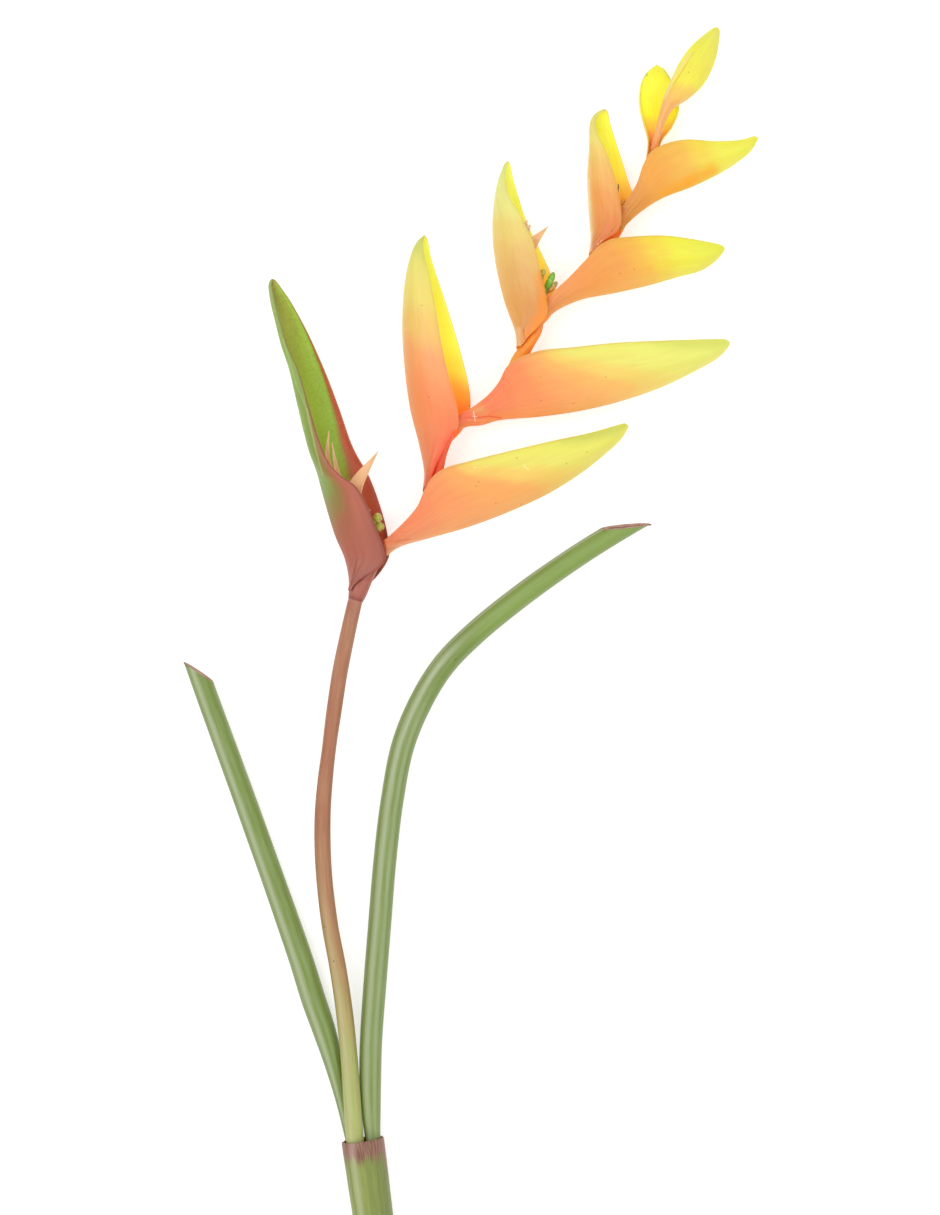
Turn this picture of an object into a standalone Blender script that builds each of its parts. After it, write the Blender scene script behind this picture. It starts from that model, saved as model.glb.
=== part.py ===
"""A cut heliconia flower lying on its back: sheath, two leaf stalks, flower stem and a zigzag axis of bracts.

X runs to the right of the flower, Y from the cut end towards the flower's tip, and Z up from the
surface that it lies on. The origin is the small flat spot under the sheath. Sizes below are in
millimetres; the objects are in metres.
"""
import math

import bmesh
import bpy
import numpy as np
from mathutils import Vector

MM = 0.001
NAME = "heliconia_flower"

WALL_BRACT = 1.2
WALL_SEPAL = 0.9

# The flower head lies in one plane, this high over the surface.
HEAD_Z = 17.5

# Sheath: a turned cup on an axis that leans over to the left as it rises.
SHEATH_MOUTH = Vector((-6.7, 57.3, 15.3))
SHEATH_CUT = Vector((8.4, -54.0, 14.4))
SHEATH_R_MOUTH = 14.9
SHEATH_R_WAIST = 14.15
SHEATH_R_CUT = 13.9
SHEATH_WALL = 1.4
SHEATH_SAG = 0.75
SHEATH_WAIST = 0.45
SHEATH_SIDES = 32
LIP = 0.5
CUT_EDGE = 1.0
CUP_DEPTH = 45.0
CUP_CORNER = 6.0
CUP_TAPER = 20.0

# Stems: places along each one, with its radius there. The first two lie inside the sheath.
PEDUNCLE = [
    ((-5.6, 14, 18.7), 5.2), ((-8.5, 35, 19.3), 5.85), ((-11.7, 57, 19.9), 6.15),
    ((-13.8, 84.5, 20.3), 6.15), ((-15.8, 112.5, 20.3), 6.0), ((-19.3, 147.5, 20.1), 6.0),
    ((-23.8, 177, 19.8), 5.9), ((-29.8, 210, 19.5), 5.75), ((-33.9, 248, 19.2), 5.7),
    ((-34.6, 280, 19), 5.65), ((-32.8, 308, 18.8), 5.35), ((-29.9, 332, 18.6), 4.95),
    ((-26.5, 357.5, 18.3), 5.35), ((-22.3, 385, 18), 5.4), ((-17, 411, 17.7), 5.25), ((-12, 433, 17.5), 5.1),
]
LEFT_STALK = [
    ((-7.2, 14, 9.1), 3.2), ((-10.3, 35, 8.9), 3.6), ((-14.1, 57, 9.4), 3.8), ((-20.6, 84.5, 9.7), 4.9),
    ((-27.7, 112.5, 9.8), 6.9), ((-34, 133.5, 9.9), 8.1), ((-41.2, 154.5, 9.9), 8.6),
    ((-50, 182.5, 9.8), 8.55), ((-64.5, 224.5, 9.6), 8.2), ((-89.5, 294.5, 8.9), 7.9),
    ((-115, 364.5, 7.9), 7.6), ((-122, 384, 7.55), 7.5), ((-133, 415, 7.5), 7.5),
]
RIGHT_STALK = [
    ((5.8, 15, 14.2), 4.5), ((3.5, 35, 14.5), 5.1), ((0.6, 57, 15.2), 5.4), ((-0.9, 78, 15.2), 6.9),
    ((-1.3, 99, 15), 7.7), ((-0.7, 126.5, 14.7), 7.9), ((1.9, 165, 14.2), 8.1), ((5, 204, 13.7), 8.1),
    ((9, 252.5, 12.9), 8.1), ((14.2, 296, 12), 8.1), ((22, 334, 11.1), 8.2), ((35, 365, 10.3), 8.3),
    ((50.5, 389.5, 9.7), 8.3), ((72, 411.5, 9.2), 8.3), ((104, 437.5, 8.8), 8.2), ((139.8, 462.9, 8.3), 8.0),
    ((167.3, 480.4, 7.8), 7.7), ((199, 499, 7.6), 7.5),
]
# Oblique cuts at the stalks' far ends: a point in each cut and the way the cut faces.
LEFT_CUT = (Vector((-122.2, 384.5, 7.5)), Vector((0.55, 0.83, 0.09)))
RIGHT_CUT = (Vector((176, 486.4, 7.6)), Vector((-0.077, 0.97, 0.22)))

# Zigzag axis of the flower head, from the collar to the top. It rises a little at its end.
RACHIS = [
    ((-11.7, 434.4, 17.5), 5.1), ((-8.9, 441.5, 17.5), 5.8), ((-5.9, 448.5, 17.5), 5.8),
    ((-1.8, 456, 17.5), 5.2), ((2.7, 463, 17.5), 4.0), ((6.3, 467.8, 17.5), 3.1),
    ((10, 471.4, 17.5), 3.0), ((21, 481.5, 17.5), 3.3),
    ((31, 492.3, 17.5), 3.4), ((37, 501.7, 17.5), 3.5), ((40.8, 509.7, 17.5), 3.5), ((44, 518.3, 17.5), 3.5),
    ((46.7, 527, 17.5), 3.5), ((49, 537, 17.5), 3.4), ((52.7, 546.3, 17.5), 3.1), ((57.3, 555.9, 17.5), 2.4),
    ((64.2, 562.9, 17.5), 2.3), ((74.3, 568.7, 17.5), 2.7), ((85.9, 577.8, 17.5), 3.1), ((96, 590, 17.5), 3.9),
    ((102.3, 602, 17.5), 4.0), ((106.2, 607.7, 17.5), 3.2), ((111, 615, 17.5), 2.9), ((115.5, 622.5, 17.5), 2.8),
    ((118.1, 630.2, 17.5), 2.5), ((120.9, 637.6, 17.5), 2.4), ((131.5, 647, 17.5), 2.5),
    ((144.5, 658.5, 17.5), 2.6), ((155.5, 671.5, 17.5), 2.5), ((162.3, 681.5, 17.5), 2.4),
    ((168.5, 691.3, 17.5), 2.1), ((175, 701.5, 17.5), 2.0), ((183, 713.5, 17.5), 1.9), ((189, 726, 17.6), 1.8),
    ((193, 738, 17.9), 1.7), ((197.2, 749.5, 19), 1.1),
]

# Bracts, base first. Each has three lines from base to tip as seen from above: its keel, its near
# margin (towards the viewer) and its far margin. half is the hollow's half width across, at the base
# and at its widest; drop lowers the keel where a bract is rolled open towards the viewer; lift raises
# its tip over its base.
BRACTS = {
    "basal_bract": dict(
        keel=[(-16, 441), (-16.6, 452), (-19.5, 465), (-26, 480), (-34.5, 508), (-42.5, 539.5), (-49, 569),
              (-56, 598.5), (-63.3, 627), (-69, 648), (-70, 658.5)],
        near=[(-15.5, 442), (-11.5, 446.5), (-4.5, 451.5), (3.5, 455.5), (9.5, 462.5), (8.5, 474), (5, 487),
              (-2, 502.5), (-11, 514), (-21, 521), (-29.5, 530), (-36.5, 546), (-43.5, 569), (-51, 594.5),
              (-59, 612), (-65.5, 634), (-70, 658.5)],
        far=[(-14.5, 441), (-3, 446), (7, 456.5), (12, 467), (10.5, 481), (5.5, 500), (-2, 520),
             (-13.5, 540.5), (-23, 566.5), (-33.5, 594.5), (-45.5, 621), (-58, 643.5), (-70, 658.5)],
        half=(6.4, 14.0), drop=-5.0, lift=0.0, widest=0.42, rows=24, tone="rose"),
    "right_bract_1": dict(
        keel=[(10.2, 465.2), (14.5, 469), (21, 472.5), (40, 478), (68, 486), (96, 496.5), (124, 509.5),
              (148.5, 525), (166, 539), (174.5, 549), (179, 557.5)],
        near=[(8, 475.8), (13.5, 480.3), (24, 490.5), (32.3, 500.5), (37, 511.5), (42.5, 520.5), (51, 526.5),
              (68, 531.5), (96, 538.5), (127.5, 546), (152, 551), (168, 556), (179, 557.5)],
        far=None, half=(5.4, 14.0), drop=0.0, lift=-1.5, widest=0.4, rows=22, tone="coral"),
    "left_bract_1": dict(
        keel=[(35.5, 510), (36.5, 523), (33, 543), (26.5, 569), (22.5, 599), (21, 630.5), (23, 658.5),
              (28.5, 678.5), (37.5, 690)],
        near=[(40, 515), (45.5, 530.5), (53, 544), (60, 554.5), (60, 566.5), (54.5, 587.5), (49.5, 609.5),
              (45, 639), (40.5, 667), (37.5, 690)],
        far=[(43, 513), (47.5, 525), (50, 536.5), (54.5, 545), (61.5, 552.5), (66.5, 560), (68.8, 571),
             (68, 583), (61.2, 611), (52.5, 640), (43.7, 668), (37.5, 690)],
        half=(5.2, 12.5), drop=-5.0, lift=0.0, widest=0.4, rows=20, tone="coral"),
    "right_bract_2": dict(
        keel=[(59.5, 553), (66.5, 556), (76.5, 557), (89, 560.5), (117, 563), (145, 567), (173, 573.5),
              (201, 583), (225.5, 594.5), (241, 605), (249.5, 615)],
        near=[(59.5, 563), (69, 568.5), (81, 577.5), (89, 587), (94.5, 597.5), (103, 603.5), (117, 608.5),
              (141.5, 611), (169.5, 614), (201, 615.5), (232.5, 616.5), (249.5, 615)],
        far=None, half=(4.4, 14.0), drop=0.0, lift=-1.0, widest=0.4, rows=22, tone="coral"),
    "left_bract_2": dict(
        keel=[(101.3, 610.5), (100.3, 622), (92.5, 644.5), (86.5, 670), (84.2, 695), (86, 720.5), (95.2, 742)],
        near=[(104, 612), (110, 619.5), (116.5, 626), (122.5, 634.5), (122, 646), (117.5, 665.5),
              (112, 686.5), (103.5, 703.5), (96.5, 718), (93.5, 731), (95.2, 742)],
        far=[(109, 608.5), (113.5, 617), (119, 627), (126, 636), (129, 649.5), (124.5, 665.5), (117, 682),
             (109.5, 697), (102.5, 717), (97.8, 733.5), (95.2, 742)],
        half=(4.6, 11.5), drop=-4.5, lift=0.0, widest=0.42, rows=18, tone="coral"),
    "right_bract_3": dict(
        keel=[(123, 632.5), (129, 637), (136.5, 641), (148.5, 645.5), (169.5, 649.5), (194, 655), (215, 661),
              (230.5, 665.5), (240, 672), (246, 681)],
        near=[(121, 644), (127.5, 650.5), (138, 660), (149, 671.5), (159, 682), (167.5, 686.5), (180, 688),
              (204.5, 689), (225.5, 686), (246, 681)],
        far=None, half=(4.2, 11.5), drop=0.0, lift=-0.5, widest=0.42, rows=18, tone="amber"),
    "left_bract_3": dict(
        keel=[(152, 674.5), (153, 688), (151.7, 707.5), (150.6, 728.5), (152.5, 749.5), (156.6, 767),
              (162.7, 777.3)],
        near=[(155, 678.5), (161, 685.5), (168.5, 692.5), (173.5, 699.5), (173, 713.5), (168.5, 733.5),
              (162, 752), (158.5, 765), (162.7, 777.3)],
        far=[(159.5, 675.5), (171, 686.5), (178.5, 699.5), (183, 716), (178.5, 732), (172, 752),
             (167, 768.5), (162.7, 777.3)],
        half=(3.8, 9.0), drop=-3.5, lift=0.0, widest=0.42, rows=16, tone="amber"),
    "right_bract_4": dict(
        keel=[(173.5, 692.5), (180.5, 700), (191, 708.5), (204.5, 716.5), (225.5, 724.5), (246.5, 735),
              (260.5, 746), (270, 758.3)],
        near=[(172.5, 707), (180, 716.5), (186, 727), (189.5, 738), (194.5, 747), (203.5, 752.5), (218.5, 756),
              (239.5, 755), (257, 756.5), (270, 758.3)],
        far=None, half=(3.6, 9.5), drop=0.0, lift=0.0, widest=0.42, rows=16, tone="amber"),
    "left_bract_4": dict(
        keel=[(195.3, 742), (197.5, 756.5), (199.5, 772), (200.5, 788), (200.5, 801.5), (199.5, 809.6)],
        near=[(192.8, 743), (194.2, 751), (194.3, 757.5), (191.7, 771), (189.5, 780.5), (188.9, 788),
              (189.8, 795), (193.2, 802.5), (199.5, 809.6)],
        far=[(198, 742), (202.3, 757), (209, 766), (214, 778), (212.3, 790.5), (206.5, 800.5), (199.5, 809.6)],
        half=(0.0, 0.0), drop=-5.0, lift=-9.0, rise=-0.9, widest=0.5, rows=12, tone="yellow"),
    "top_bract": dict(
        keel=[(199.7, 749), (201.7, 759), (206, 770.5), (211, 778.5), (222.5, 786), (232.5, 796),
              (239.8, 811), (243, 824), (241.5, 834)],
        near=[(196, 750), (199, 763), (202, 776), (206, 789), (212, 803.5), (220, 817.5), (230, 828.5),
              (241.5, 834)],
        far=None, half=(0.9, 2.3), drop=0.0, lift=3.0, rise=1.5, curl=0.88, widest=0.55, rows=16,
        tone="yellow"),
}

# Flowers in the bracts: a stalk from the axis, sepals as (base, bend, tip, widest half width), and
# buds as (stalk end, middle, radius).
FLOWERS = {
    "basal_flowers": dict(
        stalk=[((-0.1, 466.7, 17.5), 1.8), ((-4, 472, 17.3), 2.4), ((-7.5, 479, 17.2), 2.8),
               ((-13, 490, 17), 3.2), ((-16.5, 497, 17), 2.6)],
        sepals=[((-15, 493, 17), (-25, 522, 16), (-29.4, 553.5, 15), 3.2),
                ((-14, 493, 15), (-21.5, 519, 14), (-27.7, 545, 12.5), 2.6),
                ((-14, 493, 19), (-11.5, 514, 20.5), (4.9, 539, 24), 4.2),
                ((-12, 491, 17), (-8, 495, 17), (-2, 498, 17.5), 2.2)],
        buds=[((-8, 480, 17), (3.6, 492, 18.5), 3.2), ((-6.5, 477, 17), (5.6, 485.2, 18.5), 2.9)]),
    "middle_flowers": dict(
        stalk=[((112, 624.9, 17.5), 1.1), ((111.9, 630, 17.3), 1.6), ((114.5, 638, 17), 1.9),
               ((117.3, 645, 17), 1.9), ((118, 649, 17), 1.6)],
        sepals=[((117.5, 645, 17), (113, 675, 18.5), (123.2, 696.5, 21), 2.9)],
        buds=[((117.5, 645, 18), (125.6, 662, 18.5), 2.3), ((117.5, 645, 16), (128.3, 654.8, 17.5), 1.9),
              ((117.5, 645, 16), (120.4, 664.3, 16.5), 1.9)]),
    "upper_flower": dict(
        stalk=[((165.8, 693.3, 17.5), 0.9), ((168, 699, 17.3), 1.1), ((171.5, 707.5, 17), 0.95),
               ((172.9, 714, 17), 0.8), ((172.9, 722.5, 17.5), 0.7)],
        sepals=[],
        buds=[((170.5, 706, 17), (175.7, 713.5, 17.3), 1.3)]),
}

# A bract's section: faces across it, how round its keel is (0 round, 1 sharp) and how far its walls
# bulge past the margins. A folded bract's far margin is tucked in behind the near one.
BRACT_FACES = 10
KEEL_SHARPNESS = 0.5
CURL = 0.58
FAR_TUCK = 1.5

# A bract's plan: how fast it widens from the base, tapers and rounds off at the tip.
BASE_FULLNESS = 1.2
TIP_TAPER = 2.2
TIP_ROUNDNESS = 0.8

SEPAL_ROWS = 8
SEPAL_FACES = 6
SEPAL_NECK = 0.35
SEPAL_HOLLOW = 0.55
BUD_LENGTH = 1.15

# Colours from the photograph, and how rough each tissue is.
TONES = {
    "sheath_green": ((0.31, 0.38, 0.13), 0.45),
    "stalk_green": ((0.26, 0.37, 0.13), 0.35),
    "salmon": ((0.50, 0.24, 0.13), 0.5),
    "axis_red": ((0.60, 0.18, 0.08), 0.5),
    "rose": ((0.45, 0.17, 0.11), 0.45),
    "coral": ((0.90, 0.35, 0.16), 0.45),
    "amber": ((0.93, 0.48, 0.15), 0.45),
    "yellow": ((0.92, 0.85, 0.12), 0.45),
    "cream": ((0.80, 0.50, 0.28), 0.5),
    "bud_green": ((0.40, 0.50, 0.10), 0.4),
}


def make_material(tone):
    material = bpy.data.materials.get(tone)
    if material:
        return material
    colour, roughness = TONES[tone]
    material = bpy.data.materials.new(tone)
    material.use_nodes = True
    shader = material.node_tree.nodes["Principled BSDF"]
    shader.inputs["Base Color"].default_value = (*colour, 1)
    shader.inputs["Roughness"].default_value = roughness
    shader.inputs["Metallic"].default_value = 0
    return material


def place(name, mesh, tone, collection):
    mesh.materials.clear()
    mesh.materials.append(make_material(tone))
    piece = bpy.data.objects.new(name, mesh)
    collection.objects.link(piece)
    return piece


def smooth_line(points, count):
    """Even steps along a smooth curve (Catmull-Rom, spaced by chord) through points of any dimension."""
    points = np.array(points, dtype=float)
    points = np.vstack([2 * points[0] - points[1], points, 2 * points[-1] - points[-2]])
    samples = []
    for p0, p1, p2, p3 in zip(points, points[1:], points[2:], points[3:]):
        d1, d2, d3 = (max(np.linalg.norm(b - a), 1e-6) ** 0.5 for a, b in ((p0, p1), (p1, p2), (p2, p3)))
        t1, t2, t3 = d1, d1 + d2, d1 + d2 + d3
        for t in np.linspace(t1, t2, 16, endpoint=False):
            a1 = (t1 - t) / t1 * p0 + t / t1 * p1
            a2 = (t2 - t) / d2 * p1 + (t - t1) / d2 * p2
            a3 = (t3 - t) / d3 * p2 + (t - t2) / d3 * p3
            b1 = (t2 - t) / t2 * a1 + t / t2 * a2
            b2 = (t3 - t) / (t3 - t1) * a2 + (t - t1) / (t3 - t1) * a3
            samples.append((t2 - t) / d2 * b1 + (t - t1) / d2 * b2)
    samples.append(points[-2])
    samples = np.array(samples)
    along = np.concatenate([[0], np.cumsum(np.linalg.norm(np.diff(samples, axis=0), axis=1))])
    steps = np.linspace(0, along[-1], count)
    return np.column_stack([np.interp(steps, along, column) for column in samples.T])


def stem_curve(name, route, count, resolution):
    """A tube through the route's points, thick as each point says, with flat closed ends."""
    line = smooth_line([(*place_at, radius) for place_at, radius in route], count)
    curve = bpy.data.curves.new(name, "CURVE")
    curve.dimensions = "3D"
    curve.bevel_depth = MM
    curve.bevel_resolution = resolution
    curve.use_fill_caps = True
    spline = curve.splines.new("POLY")
    spline.points.add(count - 1)
    for point, (x, y, z, radius) in zip(spline.points, line):
        point.co = (x * MM, y * MM, z * MM, 1)
        point.radius = radius
    spline.use_smooth = True
    return curve


def mesh_of(data, collection):
    """The closed mesh of a curve, with its end caps welded on."""
    guide = bpy.data.objects.new("guide", data)
    collection.objects.link(guide)
    mesh = bpy.data.meshes.new_from_object(guide.evaluated_get(bpy.context.evaluated_depsgraph_get()))
    mesh.transform(guide.matrix_world)
    bpy.data.objects.remove(guide)
    bm = bmesh.new()
    bm.from_mesh(mesh)
    bmesh.ops.remove_doubles(bm, verts=bm.verts, dist=1e-6)
    bmesh.ops.recalc_face_normals(bm, faces=bm.faces)
    bm.to_mesh(mesh)
    bm.free()
    return mesh


def cut_off(mesh, point, facing):
    """Cuts away what lies in front of the plane and closes the cut with a flat face."""
    bm = bmesh.new()
    bm.from_mesh(mesh)
    geometry = bm.verts[:] + bm.edges[:] + bm.faces[:]
    bmesh.ops.bisect_plane(bm, geom=geometry, plane_co=point * MM, plane_no=facing, clear_outer=True)
    rim = [edge for edge in bm.edges if edge.is_boundary]
    bmesh.ops.holes_fill(bm, edges=rim)
    bmesh.ops.recalc_face_normals(bm, faces=bm.faces)
    bm.to_mesh(mesh)
    bm.free()
    return mesh


def make_sheath(collection):
    """A cup turned about its own axis, laid along the surface and cut flat where it rests."""
    axis = SHEATH_MOUTH - SHEATH_CUT
    length = axis.length
    floor = length - CUP_DEPTH
    hollow = SHEATH_R_MOUTH - SHEATH_WALL
    profile = [
        (0.0, floor), (hollow - CUP_CORNER, floor), (hollow - LIP * 2.4, floor + CUP_CORNER * 0.25),
        (hollow - LIP * 1.2, floor + CUP_CORNER), (hollow, length - CUP_TAPER), (hollow, length - LIP),
        (hollow + LIP, length), (SHEATH_R_MOUTH - LIP, length), (SHEATH_R_MOUTH, length - LIP),
        (SHEATH_R_MOUTH, length - CUP_TAPER * 0.7), (SHEATH_R_WAIST, length * SHEATH_WAIST),
        (SHEATH_R_CUT, CUT_EDGE), (SHEATH_R_CUT - CUT_EDGE, 0.0), (0.0, 0.0),
    ]
    mesh = bpy.data.meshes.new("sheath_profile")
    corners = [(radius * MM, 0, height * MM) for radius, height in reversed(profile)]
    mesh.from_pydata(corners, [(i, i + 1) for i in range(len(corners) - 1)], [])
    guide = bpy.data.objects.new("guide", mesh)
    collection.objects.link(guide)
    screw = guide.modifiers.new("turn", "SCREW")
    screw.steps = screw.render_steps = SHEATH_SIDES
    screw.use_merge_vertices = True
    screw.merge_threshold = 1e-5
    turned = bpy.data.meshes.new_from_object(guide.evaluated_get(bpy.context.evaluated_depsgraph_get()))
    bpy.data.objects.remove(guide)
    aim = axis.to_track_quat("Z", "Y").to_matrix().to_4x4()
    turned.transform(aim)
    for vertex in turned.vertices:
        vertex.co += SHEATH_CUT * MM
        along = (vertex.co / MM - SHEATH_CUT).dot(axis.normalized()) / length
        vertex.co.z -= SHEATH_SAG * MM * math.sin(math.pi * min(max(along, 0), 1))
    cut_off(turned, Vector((0, 0, 0)), Vector((0, 0, -1)))
    place("sheath", turned, "sheath_green", collection)


def widening(t, at_base, at_widest, widest):
    """Half width of a bract's hollow, a fraction t of the way from base to tip."""
    if t < widest:
        rise = t / widest
        return at_base + (at_widest - at_base) * math.sin(rise * math.pi / 2) ** BASE_FULLNESS
    fall = (t - widest) / (1 - widest)
    return at_widest * (1 - fall ** TIP_TAPER) ** TIP_ROUNDNESS


def bract_rails(spec, count):
    """Keel, near margin and far margin as rows of points in space, from base to tip."""
    keel = smooth_line(spec["keel"], count)
    near = smooth_line(spec["near"], count)
    if spec["far"]:
        far = smooth_line(spec["far"], count)
    else:
        inward = keel - near
        depth = np.maximum(np.linalg.norm(inward, axis=1, keepdims=True), 1e-6)
        far = near + inward / depth * np.minimum(FAR_TUCK, depth * 0.1)
    rails = []
    for i in range(count):
        t = i / (count - 1)
        half = widening(t, *spec["half"], spec["widest"])
        middle = HEAD_Z + spec.get("rise", 0) + spec["lift"] * t
        bed = middle + spec["drop"] * math.sin(math.pi * min(t * 1.15 + 0.02, 1)) ** 0.6
        rails.append((Vector((*keel[i], bed)), Vector((*near[i], middle + half)),
                      Vector((*far[i], middle - half))))
    return rails


def trough(name, rails, wall, curl, around):
    """A boat-shaped blade: an open sheet hung from the keel, a wall further in, to both margins."""
    rows = len(rails) - 1
    bm = bmesh.new()
    bmesh.ops.create_grid(bm, x_segments=around, y_segments=rows, size=1)
    for vertex in bm.verts:
        keel, near, far = rails[round((vertex.co.y + 1) / 2 * rows)]
        side = near if vertex.co.x > 0 else far
        out = abs(vertex.co.x)
        middle = (near + far) / 2
        inward = middle - keel
        deep = min(1, inward.length / (4 * wall))
        bed = keel + inward.normalized() * min(wall * deep, inward.length)
        rise = KEEL_SHARPNESS * out + (1 - KEEL_SHARPNESS) * out ** 2
        swell = math.sin(curl * math.pi * out) / math.sin(curl * math.pi)
        vertex.co = (bed + (middle - bed) * rise + (side - middle) * swell) * MM
    bmesh.ops.remove_doubles(bm, verts=bm.verts, dist=1e-6)
    bmesh.ops.triangulate(bm, faces=bm.faces)
    keel, near, far = rails[rows // 2]
    face = min(bm.faces, key=lambda f: (f.calc_center_median() / MM - keel).length)
    if face.normal.dot(keel - (near + far) / 2) < 0:
        bmesh.ops.reverse_faces(bm, faces=bm.faces)
    mesh = bpy.data.meshes.new(name)
    bm.to_mesh(mesh)
    bm.free()
    return mesh


def thicken(blade, wall):
    """Gives an open blade its wall, on its outer side."""
    solidify = blade.modifiers.new("wall", "SOLIDIFY")
    solidify.thickness = wall * MM
    solidify.offset = 1
    solidify.use_quality_normals = True


def make_bract(name, spec, collection):
    rails = bract_rails(spec, spec["rows"] + 1)
    blade = trough(name, rails, WALL_BRACT, spec.get("curl", CURL), BRACT_FACES)
    thicken(place(name, blade, spec["tone"], collection), WALL_BRACT)


def solid_copy(piece, collection):
    """The piece with its modifiers applied, as a new object; the piece itself is removed."""
    mesh = bpy.data.meshes.new_from_object(piece.evaluated_get(bpy.context.evaluated_depsgraph_get()))
    name, tone = piece.name, piece.data.materials[0].name
    bpy.data.objects.remove(piece)
    return place(name, mesh, tone, collection)


def make_sepal(base, bend, tip, half, collection):
    """A pointed blade with its hollow face up: widest a third of the way along, narrow at its base."""
    line = smooth_line([base, bend, tip], SEPAL_ROWS + 1)
    rails = []
    for i, point in enumerate(line):
        t = i / SEPAL_ROWS
        ahead = Vector(line[min(i + 1, SEPAL_ROWS)] - line[max(i - 1, 0)])
        across = ahead.cross(Vector((0, 0, 1))).normalized()
        swelling = math.sin(math.pi * min(t / 0.8, 1) ** 0.8)
        width = half * (SEPAL_NECK + (1 - SEPAL_NECK) * swelling) * (1 - t ** 3)
        keel = Vector(point) - Vector((0, 0, width * SEPAL_HOLLOW))
        rails.append((keel, Vector(point) + across * width, Vector(point) - across * width))
    sepal = place("sepal", trough("sepal", rails, WALL_SEPAL, CURL, SEPAL_FACES), "cream", collection)
    thicken(sepal, WALL_SEPAL)
    bpy.context.view_layer.update()
    solid_copy(sepal, collection)


def make_bud(root, middle, radius, collection):
    """A round bud on a short stalk."""
    root, middle = Vector(root), Vector(middle)
    bm = bmesh.new()
    bmesh.ops.create_uvsphere(bm, u_segments=10, v_segments=7, radius=radius * MM)
    bmesh.ops.scale(bm, vec=(1, 1, BUD_LENGTH), verts=bm.verts)
    aim = (middle - root).to_track_quat("Z", "Y").to_matrix()
    bmesh.ops.rotate(bm, matrix=aim, verts=bm.verts)
    bmesh.ops.translate(bm, vec=middle * MM, verts=bm.verts)
    mesh = bpy.data.meshes.new("bud")
    bm.to_mesh(mesh)
    bm.free()
    bend = (root + middle) / 2 + Vector((0, 0, -radius * 0.6))
    route = [(tuple(root), radius * 0.45), (tuple(bend), radius * 0.4), (tuple(middle), radius * 0.5)]
    stalk = mesh_of(stem_curve("bud_stalk", route, 6, 1), collection)
    place("bud", mesh, "cream", collection)
    place("bud_stalk", stalk, "cream", collection)


def make_flowers(name, spec, collection):
    """The flowers of one bract: everything is fused to the stalk that carries it."""
    extras = bpy.data.collections.new(name + "_pieces")
    bpy.context.scene.collection.children.link(extras)
    for base, bend, tip, half in spec["sepals"]:
        make_sepal(base, bend, tip, half, extras)
    for root, middle, radius in spec["buds"]:
        make_bud(root, middle, radius, extras)
    cluster = place(name, mesh_of(stem_curve(name, spec["stalk"], 9, 2), collection), "cream", collection)
    union = cluster.modifiers.new("fuse", "BOOLEAN")
    union.operand_type = "COLLECTION"
    union.collection = extras
    union.operation = "UNION"
    union.solver = "EXACT"
    bpy.context.view_layer.update()
    fused = solid_copy(cluster, collection)
    fused.name = name
    for piece in list(extras.objects):
        bpy.data.objects.remove(piece)
    bpy.data.collections.remove(extras)


for old in list(bpy.data.objects):
    bpy.data.objects.remove(old)
flower = bpy.data.collections.new(NAME)
bpy.context.scene.collection.children.link(flower)

make_sheath(flower)
place("peduncle", mesh_of(stem_curve("peduncle", PEDUNCLE, 30, 4), flower), "salmon", flower)
left = mesh_of(stem_curve("left_stalk", LEFT_STALK, 26, 5), flower)
place("left_stalk", cut_off(left, *LEFT_CUT), "stalk_green", flower)
right = mesh_of(stem_curve("right_stalk", RIGHT_STALK, 34, 5), flower)
place("right_stalk", cut_off(right, *RIGHT_CUT), "stalk_green", flower)
place("rachis", mesh_of(stem_curve("rachis", RACHIS, 60, 3), flower), "axis_red", flower)
for bract_name, bract_spec in BRACTS.items():
    make_bract(bract_name, bract_spec, flower)
for flowers_name, flowers_spec in FLOWERS.items():
    make_flowers(flowers_name, flowers_spec, flower)
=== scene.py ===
"""A cut heliconia flower lying on a pale surface, seen from straight above.

X runs to the right of the flower, Y from the cut end to the flower's tip and Z up. Sizes are in
millimetres where a name or a comment doesn't say otherwise, and colours are screen values, 0 to 255.
"""
import math

import bmesh
import bpy
import numpy as np
from mathutils import Matrix, Vector, noise


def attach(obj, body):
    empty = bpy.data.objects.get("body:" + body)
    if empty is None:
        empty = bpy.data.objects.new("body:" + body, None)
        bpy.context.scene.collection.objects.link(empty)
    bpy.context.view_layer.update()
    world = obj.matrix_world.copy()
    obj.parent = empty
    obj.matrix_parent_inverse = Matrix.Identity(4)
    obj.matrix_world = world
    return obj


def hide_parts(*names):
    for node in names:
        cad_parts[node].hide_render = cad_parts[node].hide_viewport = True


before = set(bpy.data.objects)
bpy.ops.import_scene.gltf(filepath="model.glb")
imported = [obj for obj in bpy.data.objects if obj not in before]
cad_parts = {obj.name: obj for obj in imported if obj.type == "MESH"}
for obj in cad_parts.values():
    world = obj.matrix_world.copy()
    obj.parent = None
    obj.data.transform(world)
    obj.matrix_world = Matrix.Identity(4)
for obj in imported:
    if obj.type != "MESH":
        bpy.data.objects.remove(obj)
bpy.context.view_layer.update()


# The surface and the light. A wide matt white table that glows faintly, so it shows next to no
# shadow, three soft lights, on the left, on the right and low down, and even light from all round.
# The camera hangs straight over the flower, far enough away to show it without bending it.
MM = 0.001
VIEW_CENTRE = (68.6, 429.5)
VIEW_HEIGHT = 850.5
VIEW_PLANE = 18
CAMERA_RISE = 3200
SENSOR = 24
FAR_CLIP_M = 50
CENTRE_M = (VIEW_CENTRE[0] * MM, VIEW_CENTRE[1] * MM)
TABLE_HALF_WIDTH_M = 4
ROOM_LIGHT = 0.555
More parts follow.
